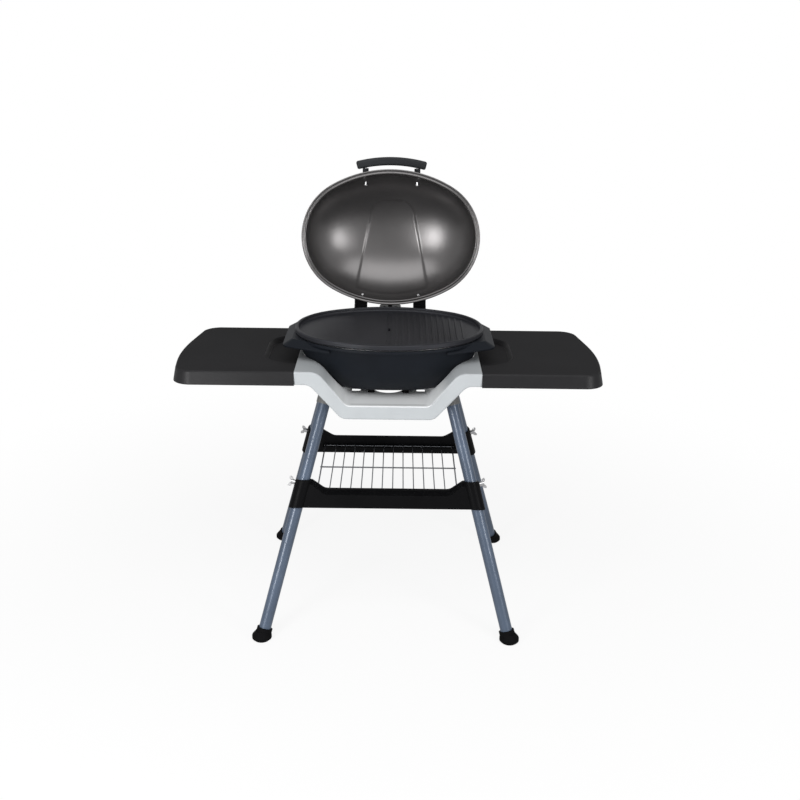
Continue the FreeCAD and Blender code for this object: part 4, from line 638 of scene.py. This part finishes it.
# %% Read the pins of a group
TIP_ZONE = 0.001  # the length at the tip in which the shank is measured


def loose_solids(mesh):
    """The points of each separate solid of a mesh, as arrays."""
    keys = [tuple(round(c, 6) for c in vertex.co) for vertex in mesh.vertices]
    parent = {key: key for key in keys}

    def root(key):
        while parent[key] != key:
            key = parent[key]
        return key

    for edge in mesh.edges:
        ends = [root(keys[i]) for i in edge.vertices]
        parent[ends[0]] = ends[1]
    groups = {}
    for key in parent:
        groups.setdefault(root(key), []).append(key)
    return [np.array(points) for points in groups.values()]


def read_pin(points):
    """Head's top, axis from tip to head, head radius and height, shank radius, and length."""
    middle = (points.max(axis=0) + points.min(axis=0)) / 2
    axis = np.linalg.eigh(np.cov((points - middle).T))[1][:, -1]
    along = (points - middle) @ axis
    radius = np.linalg.norm(points - middle - np.outer(along, axis), axis=1)
    if along[radius.argmax()] < (along.max() + along.min()) / 2:
        axis, along = -axis, -along
    shank = radius[along < along.min() + TIP_ZONE].max()
    head = radius.max()
    head_base = along[radius > (head + shank) / 2].min()
    top = middle + axis * along.max()
    return Vector(top), Vector(axis), head, along.max() - head_base, shank, along.max() - along.min()


print("pins on the brackets:", len(loose_solids(nodes["bracket_screws"].data)))

# %% [markdown]
# A screw is then rings stacked along its axis: round ones for the shank and the head, and
# cross-shaped ones that go down into the recess. A boolean would cut the cross as well, but rings
# with the same number of points join up by themselves.

# %% Pan heads with a cross
RING_STEPS = 24
TIP_SHARE = 0.6  # the tip's radius and its taper, as a share of the shank's radius
CROSS_REACH, CROSS_HALF_WIDTH, CROSS_DEPTH, CROSS_TAPER = 0.58, 0.13, 0.6, 0.8
# the head's dome as shares of its radius and of its height below the top
DOME_STEPS = [(1.0, 1.0), (1.0, 0.5), (0.95, 0.28), (0.84, 0.1), (0.72, 0.02)]


def round_ring(radius):
    angles = [2 * math.pi * k / RING_STEPS for k in range(RING_STEPS)]
    return [(radius * math.cos(a), radius * math.sin(a)) for a in angles]


def cross_ring(radius):
    """The outline of a cross, six points to a quarter, in step with round_ring."""
    reach, half = radius * CROSS_REACH, radius * CROSS_HALF_WIDTH
    middle = (reach + half) / 2
    quarter = [(reach, 0), (reach, half), (middle, half), (half, half), (half, middle), (half, reach)]
    ring = []
    for turn_x, turn_y in ((1, 0), (0, 1), (-1, 0), (0, -1)):
        ring += [(x * turn_x - y * turn_y, x * turn_y + y * turn_x) for x, y in quarter]
    return ring


def pan_head_screw(top, axis, head, head_height, shank, length):
    turn = axis.to_track_quat("Z", "Y").to_matrix()
    flat_rings = [(round_ring(shank * TIP_SHARE), -length), (round_ring(shank), shank * TIP_SHARE - length),
                  (round_ring(shank), -head_height)]
    flat_rings += [(round_ring(head * wide), -head_height * low) for wide, low in DOME_STEPS]
    flat_rings.append((cross_ring(head), 0.0))
    flat_rings.append((cross_ring(head * CROSS_TAPER), -head_height * CROSS_DEPTH))
    return skin([[top + turn @ Vector((x, y, low)) for x, y in ring] for ring, low in flat_rings])


SCREW_GROUPS = {"bracket_screws": "stand", "table_screws": "stand", "hinge_base_screws": "cooker",
                "handle_screws": "lid", "hinge_leaf_screws": "lid"}
for group, body in SCREW_GROUPS.items():
    pins = [read_pin(points) for points in loose_solids(nodes[group].data)]
    make_piece(f"{group}_cross_head", [pan_head_screw(*pin) for pin in pins], plated, body,
               [group])

# %% [markdown]
# ## The dial's marks
# A heat dial carries a pointer, and the shell round it a scale. Such marks are usually printed in
# a layer thick enough to feel. Each mark here is a low bar with sloped sides, and the scale's bars
# grow wider from low heat to high, so that it reads without words.

# %% Scale and pointer
MARK_COUNT, MARK_SWEEP = 11, math.radians(135)
MARK_RADIUS, MARK_LENGTH, MARK_WIDTH, MARK_RISE = 0.0226, 0.0032, 0.0012, 0.00025
MARK_TAPER, THINNEST, GROWTH = 0.75, 0.6, 0.8


def raised_bar(middle, along, length, width):
    """A low bar lying flat, with sloped sides."""
    across = Vector((-along.y, along.x, 0))
    rings = []
    for share, lift in ((1.0, -MARK_RISE), (1.0, 0.0), (MARK_TAPER, MARK_RISE)):
        signs = ((-1, -1), (1, -1), (1, 1), (-1, 1))
        corners = [(a * share * length / 2, b * share * width / 2) for a, b in signs]
        rings.append([middle + along * a + across * b + Vector((0, 0, lift)) for a, b in corners])
    return skin(rings)


knob_low, knob_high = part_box("dial_knob")
knob_middle = (Vector(knob_low) + Vector(knob_high)) / 2
shell_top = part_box("control_upper_shell")[1][2]
marks = []
for k in range(MARK_COUNT):
    angle = MARK_SWEEP * (2 * k / (MARK_COUNT - 1) - 1)
    outward = Vector((math.sin(angle), math.cos(angle), 0))
    growth = THINNEST + GROWTH * k / (MARK_COUNT - 1)
    middle = Vector((knob_middle.x, knob_middle.y, shell_top)) + outward * (MARK_RADIUS + MARK_LENGTH / 2)
    marks.append(raised_bar(middle, outward, MARK_LENGTH, MARK_WIDTH * growth))
make_piece("heat_scale", marks, mark_paint, "control")

POINTER_LENGTH, POINTER_WIDTH, POINTER_OFFSET = 0.009, 0.0016, 0.012
pointer_spot = Vector((knob_middle.x, knob_middle.y + POINTER_OFFSET, knob_high[2]))
make_piece("dial_pointer", [raised_bar(pointer_spot, Vector((0, 1, 0)), POINTER_LENGTH, POINTER_WIDTH)],
           mark_paint, "dial")
